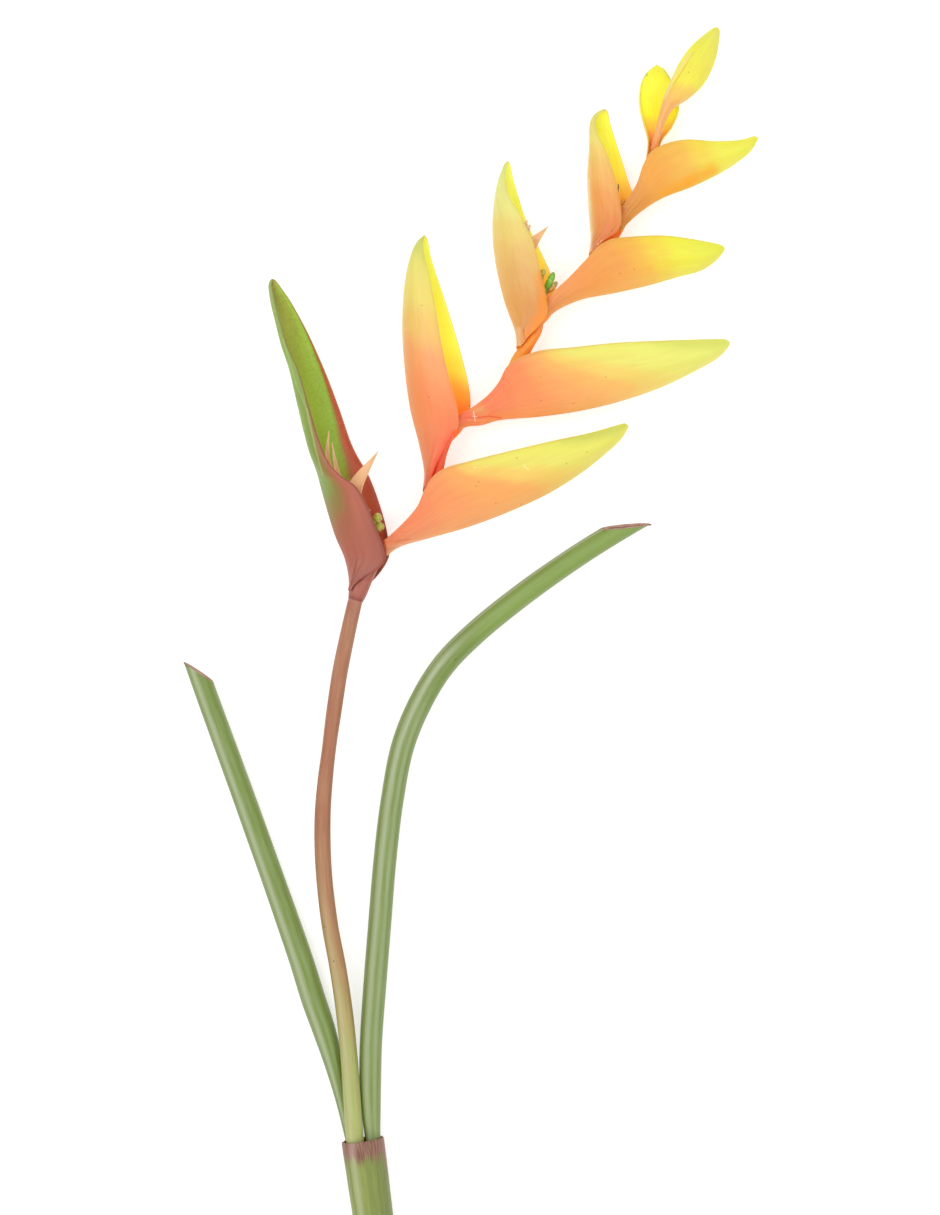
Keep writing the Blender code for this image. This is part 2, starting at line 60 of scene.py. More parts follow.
SOFTBOXES = [  # (name, place and width in metres, power in watts)
    ("left_softbox", (-1.05, 0.95, 2.3), 1.5, 22.5), ("right_softbox", (1.35, 0.25, 2.5), 1.5, 16),
    ("low_softbox", (0.1, -1.3, 1.8), 1.2, 9.5)]


def new_node(tree, kind, values=None, **settings):
    """Adds a node: settings are its own, values are its inputs, either plain or linked."""
    made = tree.nodes.new("ShaderNode" + kind)
    for key, setting in settings.items():
        setattr(made, key, setting)
    for key, value in (values or {}).items():
        if isinstance(value, bpy.types.NodeSocket):
            tree.links.new(value, made.inputs[key])
        else:
            made.inputs[key].default_value = value
    return made


def node(kind, values, **settings):
    """Adds a node to the tree that its linked values come from."""
    tree = next(value.id_data for value in values.values() if isinstance(value, bpy.types.NodeSocket))
    return new_node(tree, kind, values, **settings)


def shade(red, green, blue):
    """A screen colour as the linear colour that nodes take."""
    parts = (part / 255 for part in (red, green, blue))
    return (*(p / 12.92 if p <= 0.04045 else ((p + 0.055) / 1.055) ** 2.4 for p in parts), 1)


def set_plain(shader, **values):
    """Sets plain values on a shader's own sockets, named with _ for a space."""
    for key, value in values.items():
        shader.inputs[key.replace("_", " ")].default_value = value


def new_material(name):
    """A new material, its node tree and its main shader."""
    material = bpy.data.materials.new(name)
    material.use_nodes = True
    return material, material.node_tree, material.node_tree.nodes["Principled BSDF"]


def new_object(name, bm, *materials):
    """Turns a bmesh into a smooth-shaded object at the origin."""
    mesh = bpy.data.meshes.new(name)
    bm.to_mesh(mesh)
    bm.free()
    mesh.shade_smooth()
    for material in materials:
        mesh.materials.append(material)
    made = bpy.data.objects.new(name, mesh)
    bpy.context.scene.collection.objects.link(made)
    return made


table_paint, tree, shader = new_material("matt_white_table")
set_plain(shader, Roughness=0.9, Specular_IOR_Level=0.1, Emission_Color=(1, 1, 1, 1), Emission_Strength=0.62)
cloud = new_node(tree, "TexNoise", {"Scale": 3, "Detail": 2})
tint = node("ValToRGB", {"Fac": cloud.outputs["Fac"]})
tint.color_ramp.elements[0].color = shade(201, 201, 200)
tint.color_ramp.elements[1].color = shade(205, 205, 205)
tree.links.new(tint.outputs["Color"], shader.inputs["Base Color"])
bm = bmesh.new()
bmesh.ops.create_grid(bm, x_segments=4, y_segments=4, size=TABLE_HALF_WIDTH_M)
bmesh.ops.translate(bm, vec=(*CENTRE_M, 0), verts=bm.verts)
new_object("table", bm, table_paint)

lens = bpy.data.cameras.new("overhead_camera")
lens.sensor_fit = "VERTICAL"
lens.sensor_height = SENSOR
lens.lens = CAMERA_RISE * SENSOR / VIEW_HEIGHT
lens.clip_end = FAR_CLIP_M
camera = bpy.data.objects.new("overhead_camera", lens)
camera.location = (*CENTRE_M, (VIEW_PLANE + CAMERA_RISE) * MM)
bpy.context.scene.collection.objects.link(camera)
bpy.context.scene.camera = camera
bpy.context.scene.view_settings.view_transform = "Standard"

for light_name, place, width, power in SOFTBOXES:
    lamp = bpy.data.lights.new(light_name, "AREA")
    lamp.shape = "DISK"
    lamp.size = width
    lamp.energy = power
    holder = bpy.data.objects.new(light_name, lamp)
    holder.location = place
    aim = Vector((*CENTRE_M, 0)) - Vector(place)
    holder.rotation_euler = aim.to_track_quat("-Z", "Y").to_euler()
    bpy.context.scene.collection.objects.link(holder)
room = bpy.data.worlds.new("studio")
room.use_nodes = True
set_plain(room.node_tree.nodes["Background"], Color=(1, 1, 1, 1), Strength=ROOM_LIGHT)
bpy.context.scene.world = room


# The flower stem: a firm round stem, matt salmon brown and paler green towards its foot, where the
# leaf sheath keeps the light off it. It grows out of the sheath and carries the flower head.
CURVE_SAMPLES = 16
END_SHARES = (0.97, 0.6, 0.3, 0)
RIPPLE_ROUND = 1.3
UP = Vector((0, 0, 1))
RELIEF_STRENGTH = 0.6
SMOOTHER, ROUGHER = -0.05, 0.07


def smooth_line(points, count, closing=1):
    """Steps along a smooth curve (Catmull-Rom, spaced by chord) through points of any dimension.

    The steps are even, or closer together towards the end where closing is over 1.
    """
    points = np.array(points, dtype=float)
    points = np.vstack([2 * points[0] - points[1], points, 2 * points[-1] - points[-2]])
    samples = []
    for p0, p1, p2, p3 in zip(points, points[1:], points[2:], points[3:]):
        d1, d2, d3 = (max(np.linalg.norm(b - a), 1e-6) ** 0.5 for a, b in ((p0, p1), (p1, p2), (p2, p3)))
        t1, t2, t3 = d1, d1 + d2, d1 + d2 + d3
        for t in np.linspace(t1, t2, CURVE_SAMPLES, endpoint=False):
            a1 = (t1 - t) / t1 * p0 + t / t1 * p1
            a2 = (t2 - t) / d2 * p1 + (t - t1) / d2 * p2
            a3 = (t3 - t) / d3 * p2 + (t - t2) / d3 * p3
            b1 = (t2 - t) / t2 * a1 + t / t2 * a2
            b2 = (t3 - t) / (t3 - t1) * a2 + (t - t1) / (t3 - t1) * a3
            samples.append((t2 - t) / d2 * b1 + (t - t1) / d2 * b2)
    samples.append(points[-2])
    samples = np.array(samples)
    along = np.concatenate([[0], np.cumsum(np.linalg.norm(np.diff(samples, axis=0), axis=1))])
    steps = along[-1] * (1 - (1 - np.linspace(0, 1, count)) ** closing)
    return np.column_stack([np.interp(steps, along, column) for column in samples.T])


def tube(rings, sides, relief=None):
    """A closed tube over rings of (centre, side, up, radius), its seam underneath.

    relief(turn, t) is how far its skin stands out, for turn 0 to 1 from the underside by the right,
    the top and the left, and t 0 to 1 along it. The UV map holds turn and t.
    """
    bm = bmesh.new()
    bm.loops.layers.uv.new("UVMap")
    last = len(rings) - 1
    bmesh.ops.create_grid(bm, x_segments=sides, y_segments=last, size=1, calc_uvs=True)
    for vertex in bm.verts:
        turn = (vertex.co.x + 1) / 2
        row = round((vertex.co.y + 1) / 2 * last)
        centre, side, up, radius = rings[row]
        reach = radius + (relief(turn % 1, row / last) if relief and radius > 0 else 0)
        angle = (turn % 1 - 0.25) * math.tau
        vertex.co = (centre + (side * math.cos(angle) + up * math.sin(angle)) * reach) * MM
    bmesh.ops.remove_doubles(bm, verts=bm.verts, dist=1e-6)
    bmesh.ops.recalc_face_normals(bm, faces=bm.faces)
    return bm


def stem_rings(route, count):
    """Rings along a route of (x, y, z, radius), with both ends drawn in to a point to close them flat."""
    line = smooth_line(route, count)
    rings = []
    for i, (x, y, z, radius) in enumerate(line):
        ahead = Vector(line[min(i + 1, count - 1)][:3] - line[max(i - 1, 0)][:3]).normalized()
        side = ahead.cross(UP).normalized()
        rings.append((Vector((x, y, z)), side, side.cross(ahead), radius))
    foot, head = rings[0], rings[-1]
    for share in END_SHARES:
        rings = [(*foot[:3], foot[3] * share), *rings, (*head[:3], head[3] * share)]
    return rings


def ripple(x, y, seed):
    """Smooth unevenness, -1 to 1, repeating with x at whole numbers."""
    angle = x * math.tau
    return noise.noise((math.cos(angle) * RIPPLE_ROUND + seed, math.sin(angle) * RIPPLE_ROUND - seed, y))


def stem_relief(swell, swells, seed, rib, ribs):
    """A stem's relief: soft swellings along it and fine ribs round it, with their heights and numbers."""
    return lambda turn, t: swell * ripple(turn, t * swells, seed) + rib * math.sin(turn * math.tau * ribs)


def mix(factor, first, second, way="MIX"):
    """Lays the second colour over the first. Each is a linked colour or a screen colour."""
    first, second = (shade(*tone) if isinstance(tone, tuple) else tone for tone in (first, second))
    return node("Mix", {0: factor, 6: first, 7: second}, data_type="RGBA", blend_type=way).outputs[2]


def calculate(way, first, second=0):
    """The result of a Math node."""
    return node("Math", {0: first, 1: second}, operation=way).outputs[0]


def times(first, second):
    return calculate("MULTIPLY", first, second)


def spread(value, low, high, to_low=0, to_high=1):
    """Moves low..high to to_low..to_high, smoothly and no further."""
    inputs = {"Value": value, "From Min": low, "From Max": high, "To Min": to_low, "To Max": to_high}
    return node("MapRange", inputs, interpolation_type="SMOOTHSTEP").outputs["Result"]


def ramp(position, stops):
    """Colours that ease from one stop to the next, each a (place, red, green, blue)."""
    made = node("ValToRGB", {"Fac": position})
    made.color_ramp.interpolation = "EASE"
    elements = made.color_ramp.elements
    elements.remove(elements[1])
    elements[0].position, elements[0].color = stops[0][0], shade(*stops[0][1:])
    for at, *colour in stops[1:]:
        elements.new(at).color = shade(*colour)
    return made.outputs["Color"]


def clouds(place, scale, detail, **settings):
    """Soft noise, 0 to 1."""
    values = {"Vector": place, "Scale": scale, "Detail": detail}
    return node("TexNoise", values, **settings).outputs["Fac"]


def new_group(name, inputs, outputs):
    """A shader node group with sockets of (name, type, value)."""
    group = bpy.data.node_groups.new(name, "ShaderNodeTree")
    for label, kind, value in inputs:
        socket = group.interface.new_socket(label, in_out="INPUT", socket_type="NodeSocket" + kind)
        if kind == "Float":
            socket.default_value = value
    for label, kind in outputs:
        group.interface.new_socket(label, in_out="OUTPUT", socket_type="NodeSocket" + kind)
    return group, group.nodes.new("NodeGroupInput").outputs, group.nodes.new("NodeGroupOutput").inputs


# Long fibres in the skin: Lines is the fine grain and Bands the broad, slow one.
fibres, given, gives = new_group(
    "long_fibres", [("Skin", "Vector", None), ("Count", "Float", 60), ("Breaks", "Float", 4)],
    [("Lines", "Float"), ("Bands", "Float")])
across, along = node("SeparateXYZ", {0: given["Skin"]}).outputs[:2]
for label, coarser, detail in (("Lines", 1, 3), ("Bands", 0.18, 1)):
    place = node("CombineXYZ", {0: times(across, times(given["Count"], coarser)),
                                1: times(along, given["Breaks"])}).outputs[0]
    grain = clouds(place, 1, detail, noise_dimensions="2D")
    fibres.links.new(spread(grain, 0.3, 0.7), gives[label])

# Small round specks of dead skin, here and there.
specks, given, gives = new_group(
    "skin_specks", [("Place", "Vector", None), ("Per Metre", "Float", 160), ("Share", "Float", 0.1),
                    ("Size", "Float", 0.12)], [("Mask", "Float")])
cells = node("TexVoronoi", {"Vector": given["Place"], "Scale": given["Per Metre"]})
luck = node("SeparateColor", {0: cells.outputs["Color"]}).outputs[0]
chosen = calculate("LESS_THAN", luck, given["Share"])
dot = spread(cells.outputs["Distance"], given["Size"], 0)
specks.links.new(times(dot, chosen), gives["Mask"])


def skin(name, roughness, count, breaks):
    """A plant skin's material: its tree, shader, fibres and the places that patterns read."""
    material, tree, shader = new_material(name)
    places = new_node(tree, "TexCoord").outputs
    grain = node("Group", {"Skin": places["UV"], "Count": count, "Breaks": breaks},
                 node_tree=fibres).outputs
    parts = node("SeparateXYZ", {0: places["UV"]}).outputs
    rough = spread(grain["Lines"], 0, 1, roughness + SMOOTHER, roughness + ROUGHER)
    tree.links.new(rough, shader.inputs["Roughness"])
    return material, tree, shader, grain, parts[0], parts[1], places["Object"]


def furrowed(grain, depth, tone, dark):
    """The tone, darker between the skin's fibres."""
    return mix(spread(grain["Lines"], 0, 1, depth, 0), tone, dark)


def speckled(place, per_metre, share, size, tone, speck):
    """The tone with small specks over it."""
    values = {"Place": place, "Per Metre": per_metre, "Share": share, "Size": size}
    return mix(node("Group", values, node_tree=specks).outputs["Mask"], tone, speck)


def finish_skin(shader, colour, height, depth):
    """Wires up the colour and a relief of the given depth."""
    tree = shader.id_data
    tree.links.new(colour, shader.inputs["Base Color"])
    bump = node("Bump", {"Height": height, "Strength": RELIEF_STRENGTH, "Distance": depth * MM})
    tree.links.new(bump.outputs["Normal"], shader.inputs["Normal"])


def band(value, middle, half_width):
    """A soft stripe: 1 at the middle, 0 from half_width away."""
    away = calculate("ABSOLUTE", calculate("SUBTRACT", value, middle))
    return spread(away, half_width, 0)


PEDUNCLE = [
    (-5.6, 14, 18.7, 5.2), (-8.5, 35, 19.3, 5.85), (-11.7, 57, 19.9, 6.15),
    (-13.8, 84.5, 20.3, 6.15), (-15.8, 112.5, 20.3, 6), (-19.3, 147.5, 20.1, 6),
    (-23.8, 177, 19.8, 5.9), (-29.8, 210, 19.5, 5.75), (-33.9, 248, 19.2, 5.7),
    (-34.6, 280, 19, 5.65), (-32.8, 308, 18.8, 5.35), (-29.9, 332, 18.6, 4.95),
    (-26.5, 357.5, 18.3, 5.35), (-22.3, 385, 18, 5.4), (-17, 411, 17.7, 5.25),
    (-12, 433, 17.5, 5.1), (-11.2, 436, 17.5, 5),
]
peduncle_skin, tree, shader, grain, turn, length, place = skin(
    "peduncle_skin", roughness=0.5, count=70, breaks=14)
tone = ramp(length, [
    (0, 160, 168, 94), (0.14, 172, 186, 104), (0.24, 172, 180, 104), (0.32, 176, 166, 98),
    (0.4, 180, 150, 96), (0.55, 176, 126, 88), (0.65, 172, 112, 80), (0.8, 174, 112, 80),
    (0.93, 176, 118, 86), (0.9765, 172, 108, 84), (0.9795, 198, 130, 112), (0.982, 150, 84, 70)])
# Painted shade down the right and under side of the stem's middle stretch, away from the main light.
stem_shade_side = times(spread(turn, 0.5, 0.4), band(length, 0.45, 0.25))
tone = mix(times(stem_shade_side, 0.45), tone, (168, 98, 70))
tone = furrowed(grain, 0.2, tone, (120, 76, 54))
tone = mix(spread(grain["Bands"], 0.2, 1, 0, 0.15), tone, (206, 164, 124))
sheen = times(band(turn, 0.568, 0.09), spread(length, 0.65, 0.3, 0, 0.35))
tone = mix(sheen, tone, (206, 200, 160))
tone = speckled(place, 150, 0.06, 0.16, tone, (96, 58, 44))
finish_skin(shader, tone, grain["Lines"], 0.12)
stem = new_object("flower_stem", tube(
    stem_rings(PEDUNCLE, count=260), sides=48,
    relief=stem_relief(swell=0.16, swells=14, seed=3, rib=0.05, ribs=11)), peduncle_skin)
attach(stem, "root")
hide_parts("peduncle")


# The leaf stalks: two thick, smooth, waxy green stalks with air channels inside. The leaves were cut
# off with a slanting cut, which shows pale pith in a browned rim. Both stalks grow out of the sheath.
LEFT_STALK = [
    (-7.2, 14, 9.1, 3.2), (-10.8, 35, 9.4, 3.6), (-15.3, 57, 10.3, 3.7), (-21, 84.5, 9.9, 4.9),
    (-27.7, 112.5, 9.8, 6.9), (-34, 133.5, 9.9, 8.1), (-41.2, 154.5, 9.9, 8.6),
    (-50, 182.5, 9.8, 8.55), (-64.5, 224.5, 9.6, 8.2), (-89.5, 294.5, 8.9, 7.9),
    (-115, 364.5, 7.9, 7.6), (-122, 384, 7.55, 7.5), (-133, 415, 7.5, 7.5),
]
RIGHT_STALK = [
    (5.8, 15, 14.2, 4.5), (3.5, 35, 14.5, 5.1), (0.6, 57, 15.2, 5.4), (-0.9, 78, 15.2, 6.9),
    (-1.3, 99, 15, 7.7), (-0.7, 126.5, 14.7, 7.9), (1.9, 165, 14.2, 8.1), (5, 204, 13.7, 8.1),
    (9, 252.5, 12.9, 8.1), (14.2, 296, 12, 8.1), (22, 334, 11.1, 8.2), (35, 365, 10.3, 8.3),
    (50.5, 389.5, 9.7, 8.3), (72, 411.5, 9.2, 8.3), (104, 437.5, 8.8, 8.2), (139.8, 462.9, 8.3, 8),
    (167.3, 480.4, 7.8, 7.7), (199, 499, 7.6, 7.5),
]
LEFT_CUT = (Vector((-122.2, 384.5, 7.5)), Vector((0.55, 0.83, 0.09)))
RIGHT_CUT = (Vector((176, 486.4, 7.6)), Vector((-0.077, 0.97, 0.22)))
CUT_RINGS = ((0.7, 0), (0.5, -0.45), (1.8, 0.1), (1.6, -0.1))  # (width, rise) from the rim inwards
STALK_GREEN, STALK_DARK, STALK_PALE = (121, 143, 62), (80, 98, 44), (174, 184, 146)
BAND_FADE = 0.08
WHOLE = (-0.1, 1.1)  # where a band that runs the whole stalk starts and ends


def green_skin(name, foot, bands):
    """Waxy green skin with long bands, most of them painted highlight and shade: (colour, turn, half width,
    weight, where it starts and ends).
    """
    material, tree, shader, grain, turn, length, place = skin(name, roughness=0.34, count=90, breaks=16)
    tone = furrowed(grain, 0.2, STALK_GREEN, STALK_DARK)
    tone = mix(spread(grain["Bands"], 0.3, 1, 0, 0.1), tone, STALK_PALE)
    tone = mix(spread(length, 0.22, 0.02, 0, 0.4), tone, foot)
    for colour, middle, half_width, weight, start, end in bands:
        stretch = times(spread(length, start, start + BAND_FADE),
                        spread(length, end, end - BAND_FADE))
        mask = times(band(turn, middle, half_width), stretch)
        tone = mix(times(mask, weight), tone, colour)
    tone = speckled(place, 120, 0.035, 0.14, tone, (92, 84, 50))
    finish_skin(shader, tone, grain["Lines"], 0.08)
    set_plain(shader, Coat_Weight=0.15, Coat_Roughness=0.3)
    return material


cut_pith, tree, shader = new_material("cut_pith")
place = new_node(tree, "TexCoord").outputs["Object"]
pores = node("TexVoronoi", {"Vector": place, "Scale": 900}).outputs["Distance"]
pith = mix(spread(pores, 0.15, 0.5), (120, 78, 66), (196, 152, 128))
pith = mix(spread(clouds(place, 160, 3), 0.35, 0.7, 0, 0.7), pith, (150, 96, 86))
finish_skin(shader, pith, pores, 0.3)
set_plain(shader, Roughness=0.7)


def cut_stalk(bm, point, facing):
    """Slices the stalk's end off along a plane, and closes it with a rim of skin round sunken pith."""
    geometry = bm.verts[:] + bm.edges[:] + bm.faces[:]
    bmesh.ops.bisect_plane(bm, geom=geometry, plane_co=point * MM, plane_no=facing, clear_outer=True)
    rim = [edge for edge in bm.edges if edge.is_boundary]
    faces = bmesh.ops.holes_fill(bm, edges=rim)["faces"]
    bmesh.ops.recalc_face_normals(bm, faces=bm.faces)
    for face in faces:
        face.material_index = 1
        face.smooth = False
    for thickness, depth in CUT_RINGS:
        ring = bmesh.ops.inset_region(bm, faces=faces, thickness=thickness * MM, depth=depth * MM)
        for face in ring["faces"]:
            face.material_index = 1
    bmesh.ops.triangulate(bm, faces=faces)
    return bm


# On the left stalk a painted highlight runs down its upper left, with painted shade beside it towards the
# left edge.
left_skin = green_skin("left_stalk_skin", (134, 150, 74), [
    (STALK_PALE, 0.576, 0.075, 0.85, *WHOLE), (STALK_DARK, 0.72, 0.08, 0.55, *WHOLE)])
left_stalk = new_object("left_leaf_stalk", cut_stalk(tube(
    stem_rings(LEFT_STALK, count=240), sides=64,
    relief=stem_relief(swell=0.12, swells=9, seed=5, rib=0.03, ribs=26)), *LEFT_CUT), left_skin, cut_pith)

GROOVE_TURN, GROOVE_WIDTH, GROOVE_DEPTH, GROOVE_START = 0.7, 0.035, 0.5, 0.75
# On the right stalk painted highlights run down its top and upper right, painted shade down both sides, a
# painted highlight along the near lip of the groove, and a yellower green towards the cut.
right_skin = green_skin("right_stalk_skin", (138, 154, 78), [
    (STALK_PALE, 0.56, 0.085, 0.7, -0.1, 0.74), (STALK_PALE, 0.424, 0.05, 0.45, -0.1, 0.66),
    (STALK_DARK, 0.72, 0.07, 0.3, *WHOLE), (STALK_DARK, 0.28, 0.07, 0.45, *WHOLE),
    ((138, 166, 76), 0.46, 0.3, 0.6, 0.68, 1.1), (STALK_PALE, 0.655, 0.02, 0.6, 0.62, 0.98)])
smooth_right = stem_relief(swell=0.12, swells=13, seed=8, rib=0.03, ribs=26)


def grooved(turn, t):
    """The right stalk's relief, with the groove that opens towards its cut."""
    depth = GROOVE_DEPTH * min(max((t - GROOVE_START) * 5, 0), 1)
    return smooth_right(turn, t) - depth * math.exp(-((turn - GROOVE_TURN) / GROOVE_WIDTH) ** 2)


right_stalk = new_object("right_leaf_stalk", cut_stalk(tube(
    stem_rings(RIGHT_STALK, count=330), sides=64, relief=grooved), *RIGHT_CUT), right_skin, cut_pith)
for stalk, node_name in ((left_stalk, "left_stalk"), (right_stalk, "right_stalk")):
    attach(stalk, "root")
    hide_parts(node_name)


# The leaf sheath: the rolled foot of the leaves, a fleshy green tube that holds the stems together.
# Its mouth was trimmed, and has dried to a ragged maroon edge. It rests on a small flat underneath.
SHEATH_MOUTH = Vector((-6.7, 57.3, 15.3))
SHEATH_CUT = Vector((8.4, -54, 14.4))
SHEATH_R_MOUTH, SHEATH_R_WAIST, SHEATH_R_CUT = 14.9, 14.15, 13.9
SHEATH_WALL = 1.4
SHEATH_SAG = 0.75
CUP_DEPTH = 45
WAIST_AT = 0.45
SHEATH_ROWS = 90
SHEATH_SWELL, SHEATH_RIB, SHEATH_RIBS = 0.13, 0.05, 34
TORN_EDGE = 9
sheath_axis = SHEATH_MOUTH - SHEATH_CUT
sheath_length = sheath_axis.length
sheath_ahead = sheath_axis.normalized()
sheath_side = sheath_ahead.cross(UP).normalized()
sheath_up = sheath_side.cross(sheath_ahead)
sheath_hollow = SHEATH_R_MOUTH - SHEATH_WALL
# The outline of the wall as (radius, height): over the cut, up the outside, round the lip, down inside.
outline = [(0, 0), (SHEATH_R_CUT * 0.5, 0), (SHEATH_R_CUT - 2.2, 0), (SHEATH_R_CUT - 1.4, -0.2),
           (SHEATH_R_CUT - 0.4, 0.2), (SHEATH_R_CUT, 1)]
for share in np.linspace(0.03, 0.985, SHEATH_ROWS):
    swell = (1 - math.cos(math.pi * max(share - WAIST_AT, 0) / (1 - WAIST_AT))) / 2
    narrowing = (SHEATH_R_WAIST - SHEATH_R_CUT) * max(WAIST_AT - share, 0) / WAIST_AT
    radius = SHEATH_R_WAIST - narrowing + (SHEATH_R_MOUTH - SHEATH_R_WAIST) * swell
    outline.append((radius, sheath_length * share))
outline += [(SHEATH_R_MOUTH - 0.1, sheath_length - 0.6), (SHEATH_R_MOUTH - 0.45, sheath_length - 0.1),
            (sheath_hollow + 0.35, sheath_length), (sheath_hollow, sheath_length - 0.6)]
outline += [(sheath_hollow, sheath_length - step) for step in (3, 8, 14, 20)]
outline += [(sheath_hollow - 0.6, sheath_length - 38), (sheath_hollow - 1.4, sheath_length - 43.6),
            (sheath_hollow * 0.6, sheath_length - CUP_DEPTH), (0, sheath_length - CUP_DEPTH)]
sheath_rings = []
for radius, height in outline:
    sag = SHEATH_SAG * math.sin(math.pi * min(max(height / sheath_length, 0), 1))
    centre = SHEATH_CUT + sheath_ahead * height - Vector((0, 0, sag))
    sheath_rings.append((centre, sheath_side, sheath_up, radius))
bm = tube(sheath_rings, sides=128)
for vertex in bm.verts:
    out = vertex.co / MM - SHEATH_CUT
    height = out.dot(sheath_ahead)
    out = out - sheath_ahead * height
    if out.length > 1:
        turn = math.atan2(out.dot(sheath_up), out.dot(sheath_side)) / math.tau + 0.25
        skin_depth = SHEATH_SWELL * ripple(turn, height * 0.05, 12)
        skin_depth += SHEATH_RIB * math.sin(turn * math.tau * SHEATH_RIBS)
        mouth = min(max((height - sheath_length + TORN_EDGE) / TORN_EDGE, 0), 1)
        ragged = ripple(turn * 4, 2, 21) * 0.9 + ripple(turn * 17, 5, 4) * 0.7
        vertex.co += out.normalized() * skin_depth * MM
        vertex.co += sheath_ahead * (min(ragged, 0.3) - 0.5) * mouth ** 3 * MM
        if vertex.co.z < 0:
            vertex.co.z = 0
bmesh.ops.recalc_face_normals(bm, faces=bm.faces)
sheath_skin, tree, shader, grain, turn, length, place = skin(
    "sheath_skin", roughness=0.4, count=120, breaks=7)
lean = node("Mapping", {"Vector": place, "Rotation": (0, 0, math.atan2(sheath_axis.x, sheath_axis.y))})
height = node("SeparateXYZ", {0: lean.outputs[0]}).outputs[1]
streaks = node("Group", {"Skin": new_node(tree, "TexCoord").outputs["UV"], "Count": 110, "Breaks": 1.5},
               node_tree=fibres).outputs
tear = spread(streaks["Lines"], 0, 1, -2 * MM, 2 * MM)
slow_tear = spread(streaks["Bands"], 0, 1, -1.8 * MM, 1.8 * MM)
ragged_height = calculate("ADD", height, calculate("ADD", tear, slow_tear))
dry = spread(ragged_height, 39.5 * MM, 49 * MM)
tone = mix(spread(streaks["Bands"], 0.1, 0.9), (128, 142, 64), (144, 156, 76))
tone = furrowed(grain, 0.25, tone, (100, 112, 50))
# Painted shade down both sides of the sheath, where it turns away from the light.
tone = mix(spread(turn, 0.36, 0.5, 0.5, 0), tone, (96, 112, 50))
tone = mix(spread(turn, 0.66, 0.8, 0, 0.5), tone, (108, 122, 58))
shine = times(band(turn, 0.59, 0.055), 0.65)
tone = mix(shine, tone, (188, 194, 148))
browned = calculate("ADD", spread(turn, 0.36, 0.28), spread(turn, 0.66, 0.74))
browned = times(browned, spread(height, 15 * MM, 45 * MM, 0, 0.7))
tone = mix(browned, tone, (126, 96, 60))
rust = mix(spread(grain["Lines"], 0.1, 0.9), (118, 76, 60), (154, 112, 90))
rust = mix(shine, rust, (190, 156, 146))
tone = mix(dry, tone, rust)
tone = speckled(place, 170, 0.08, 0.15, tone, (100, 80, 56))
finish_skin(shader, tone, grain["Lines"], 0.2)
sheath = new_object("leaf_sheath", bm, sheath_skin)
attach(sheath, "root")
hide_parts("sheath")


# The zigzag axis of the head: a thin fleshy stem that turns at each bract. Its skin is red-orange,
# ribbed lengthwise, and rose brown at the collar where the flower stem ends.
RACHIS = [
    (-11.7, 434.4, 17.5, 5.1), (-9.4, 441.5, 17.5, 6.4), (-5.9, 448.5, 17.5, 5.8),
    (-1.8, 456, 17.5, 5.2), (2.7, 463, 17.5, 4), (6.3, 467.8, 17.5, 3.1),
    (10, 471.4, 17.5, 3), (21, 481.5, 17.5, 3.3),
    (31, 492.3, 17.5, 3.4), (37, 501.7, 17.5, 3.5), (40.8, 509.7, 17.5, 3.5), (44, 518.3, 17.5, 3.5),
    (46.7, 527, 17.5, 3.5), (49, 537, 17.5, 3.4), (52.7, 546.3, 17.5, 3.1), (57.3, 555.9, 17.5, 2.4),
    (64.2, 562.9, 17.5, 2.3), (74.3, 568.7, 17.5, 2.7), (85.9, 577.8, 17.5, 3.1), (95.8, 590, 17.5, 4.1),
    (101.5, 601, 17.5, 4.9), (105.2, 607.3, 17.4, 4.6), (110.4, 615.1, 17.3, 4), (115.5, 622.5, 17.3, 3.2),
    (118.1, 630.2, 17.5, 2.5), (120.9, 637.6, 17.5, 2.4), (131.5, 647, 17.5, 2.5),
    (144.5, 658.5, 17.5, 2.6), (155.5, 671.5, 17.5, 2.5), (162.3, 681.5, 17.5, 2.4),
    (168.5, 691.3, 17.5, 2.1), (175, 701.5, 17.5, 2), (183, 713.5, 17.5, 1.9), (189, 726, 17.6, 1.8),
    (193, 738, 17.9, 1.7), (197.2, 749.5, 19, 1.1),
]
axis_skin, tree, shader, grain, turn, length, place = skin(
    "axis_skin", roughness=0.45, count=40, breaks=40)
tone = ramp(length, [
    (0, 214, 150, 130), (0.007, 206, 140, 122), (0.011, 132, 70, 62), (0.018, 172, 102, 86),
    (0.085, 174, 98, 82), (0.13, 240, 124, 88), (0.3, 250, 116, 78), (0.44, 252, 132, 66),
    (0.49, 255, 180, 58), (0.58, 255, 168, 56), (0.64, 250, 140, 70), (0.78, 250, 122, 64),
    (0.85, 250, 108, 58), (0.9, 252, 150, 76), (1, 240, 160, 80)])
shaded_side = times(spread(turn, 0.5, 0.36), band(length, 0.53, 0.07))
tone = mix(times(shaded_side, 0.7), tone, (222, 98, 44))
tone = furrowed(grain, 0.22, tone, (190, 84, 50))
tone = speckled(place, 300, 0.1, 0.16, tone, (92, 56, 36))
finish_skin(shader, tone, grain["Lines"], 0.15)
set_plain(shader, Subsurface_Weight=0.5, Subsurface_Radius=(1, 0.6, 0.35), Subsurface_Scale=3 * MM)
COLLAR_AT, COLLAR_WIDTH, COLLAR_RISE = 0.018, 0.008, 0.2
ribbed = stem_relief(swell=0.1, swells=60, seed=2, rib=0.09, ribs=9)


def collared(turn, t):
    """The axis's relief, with the thick ring that the flower stem ends in."""
    return ribbed(turn, t) + COLLAR_RISE * math.exp(-((t - COLLAR_AT) / COLLAR_WIDTH) ** 2)


axis = new_object("zigzag_axis", tube(stem_rings(RACHIS, count=420), sides=36, relief=collared), axis_skin)
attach(axis, "root")
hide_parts("rachis")


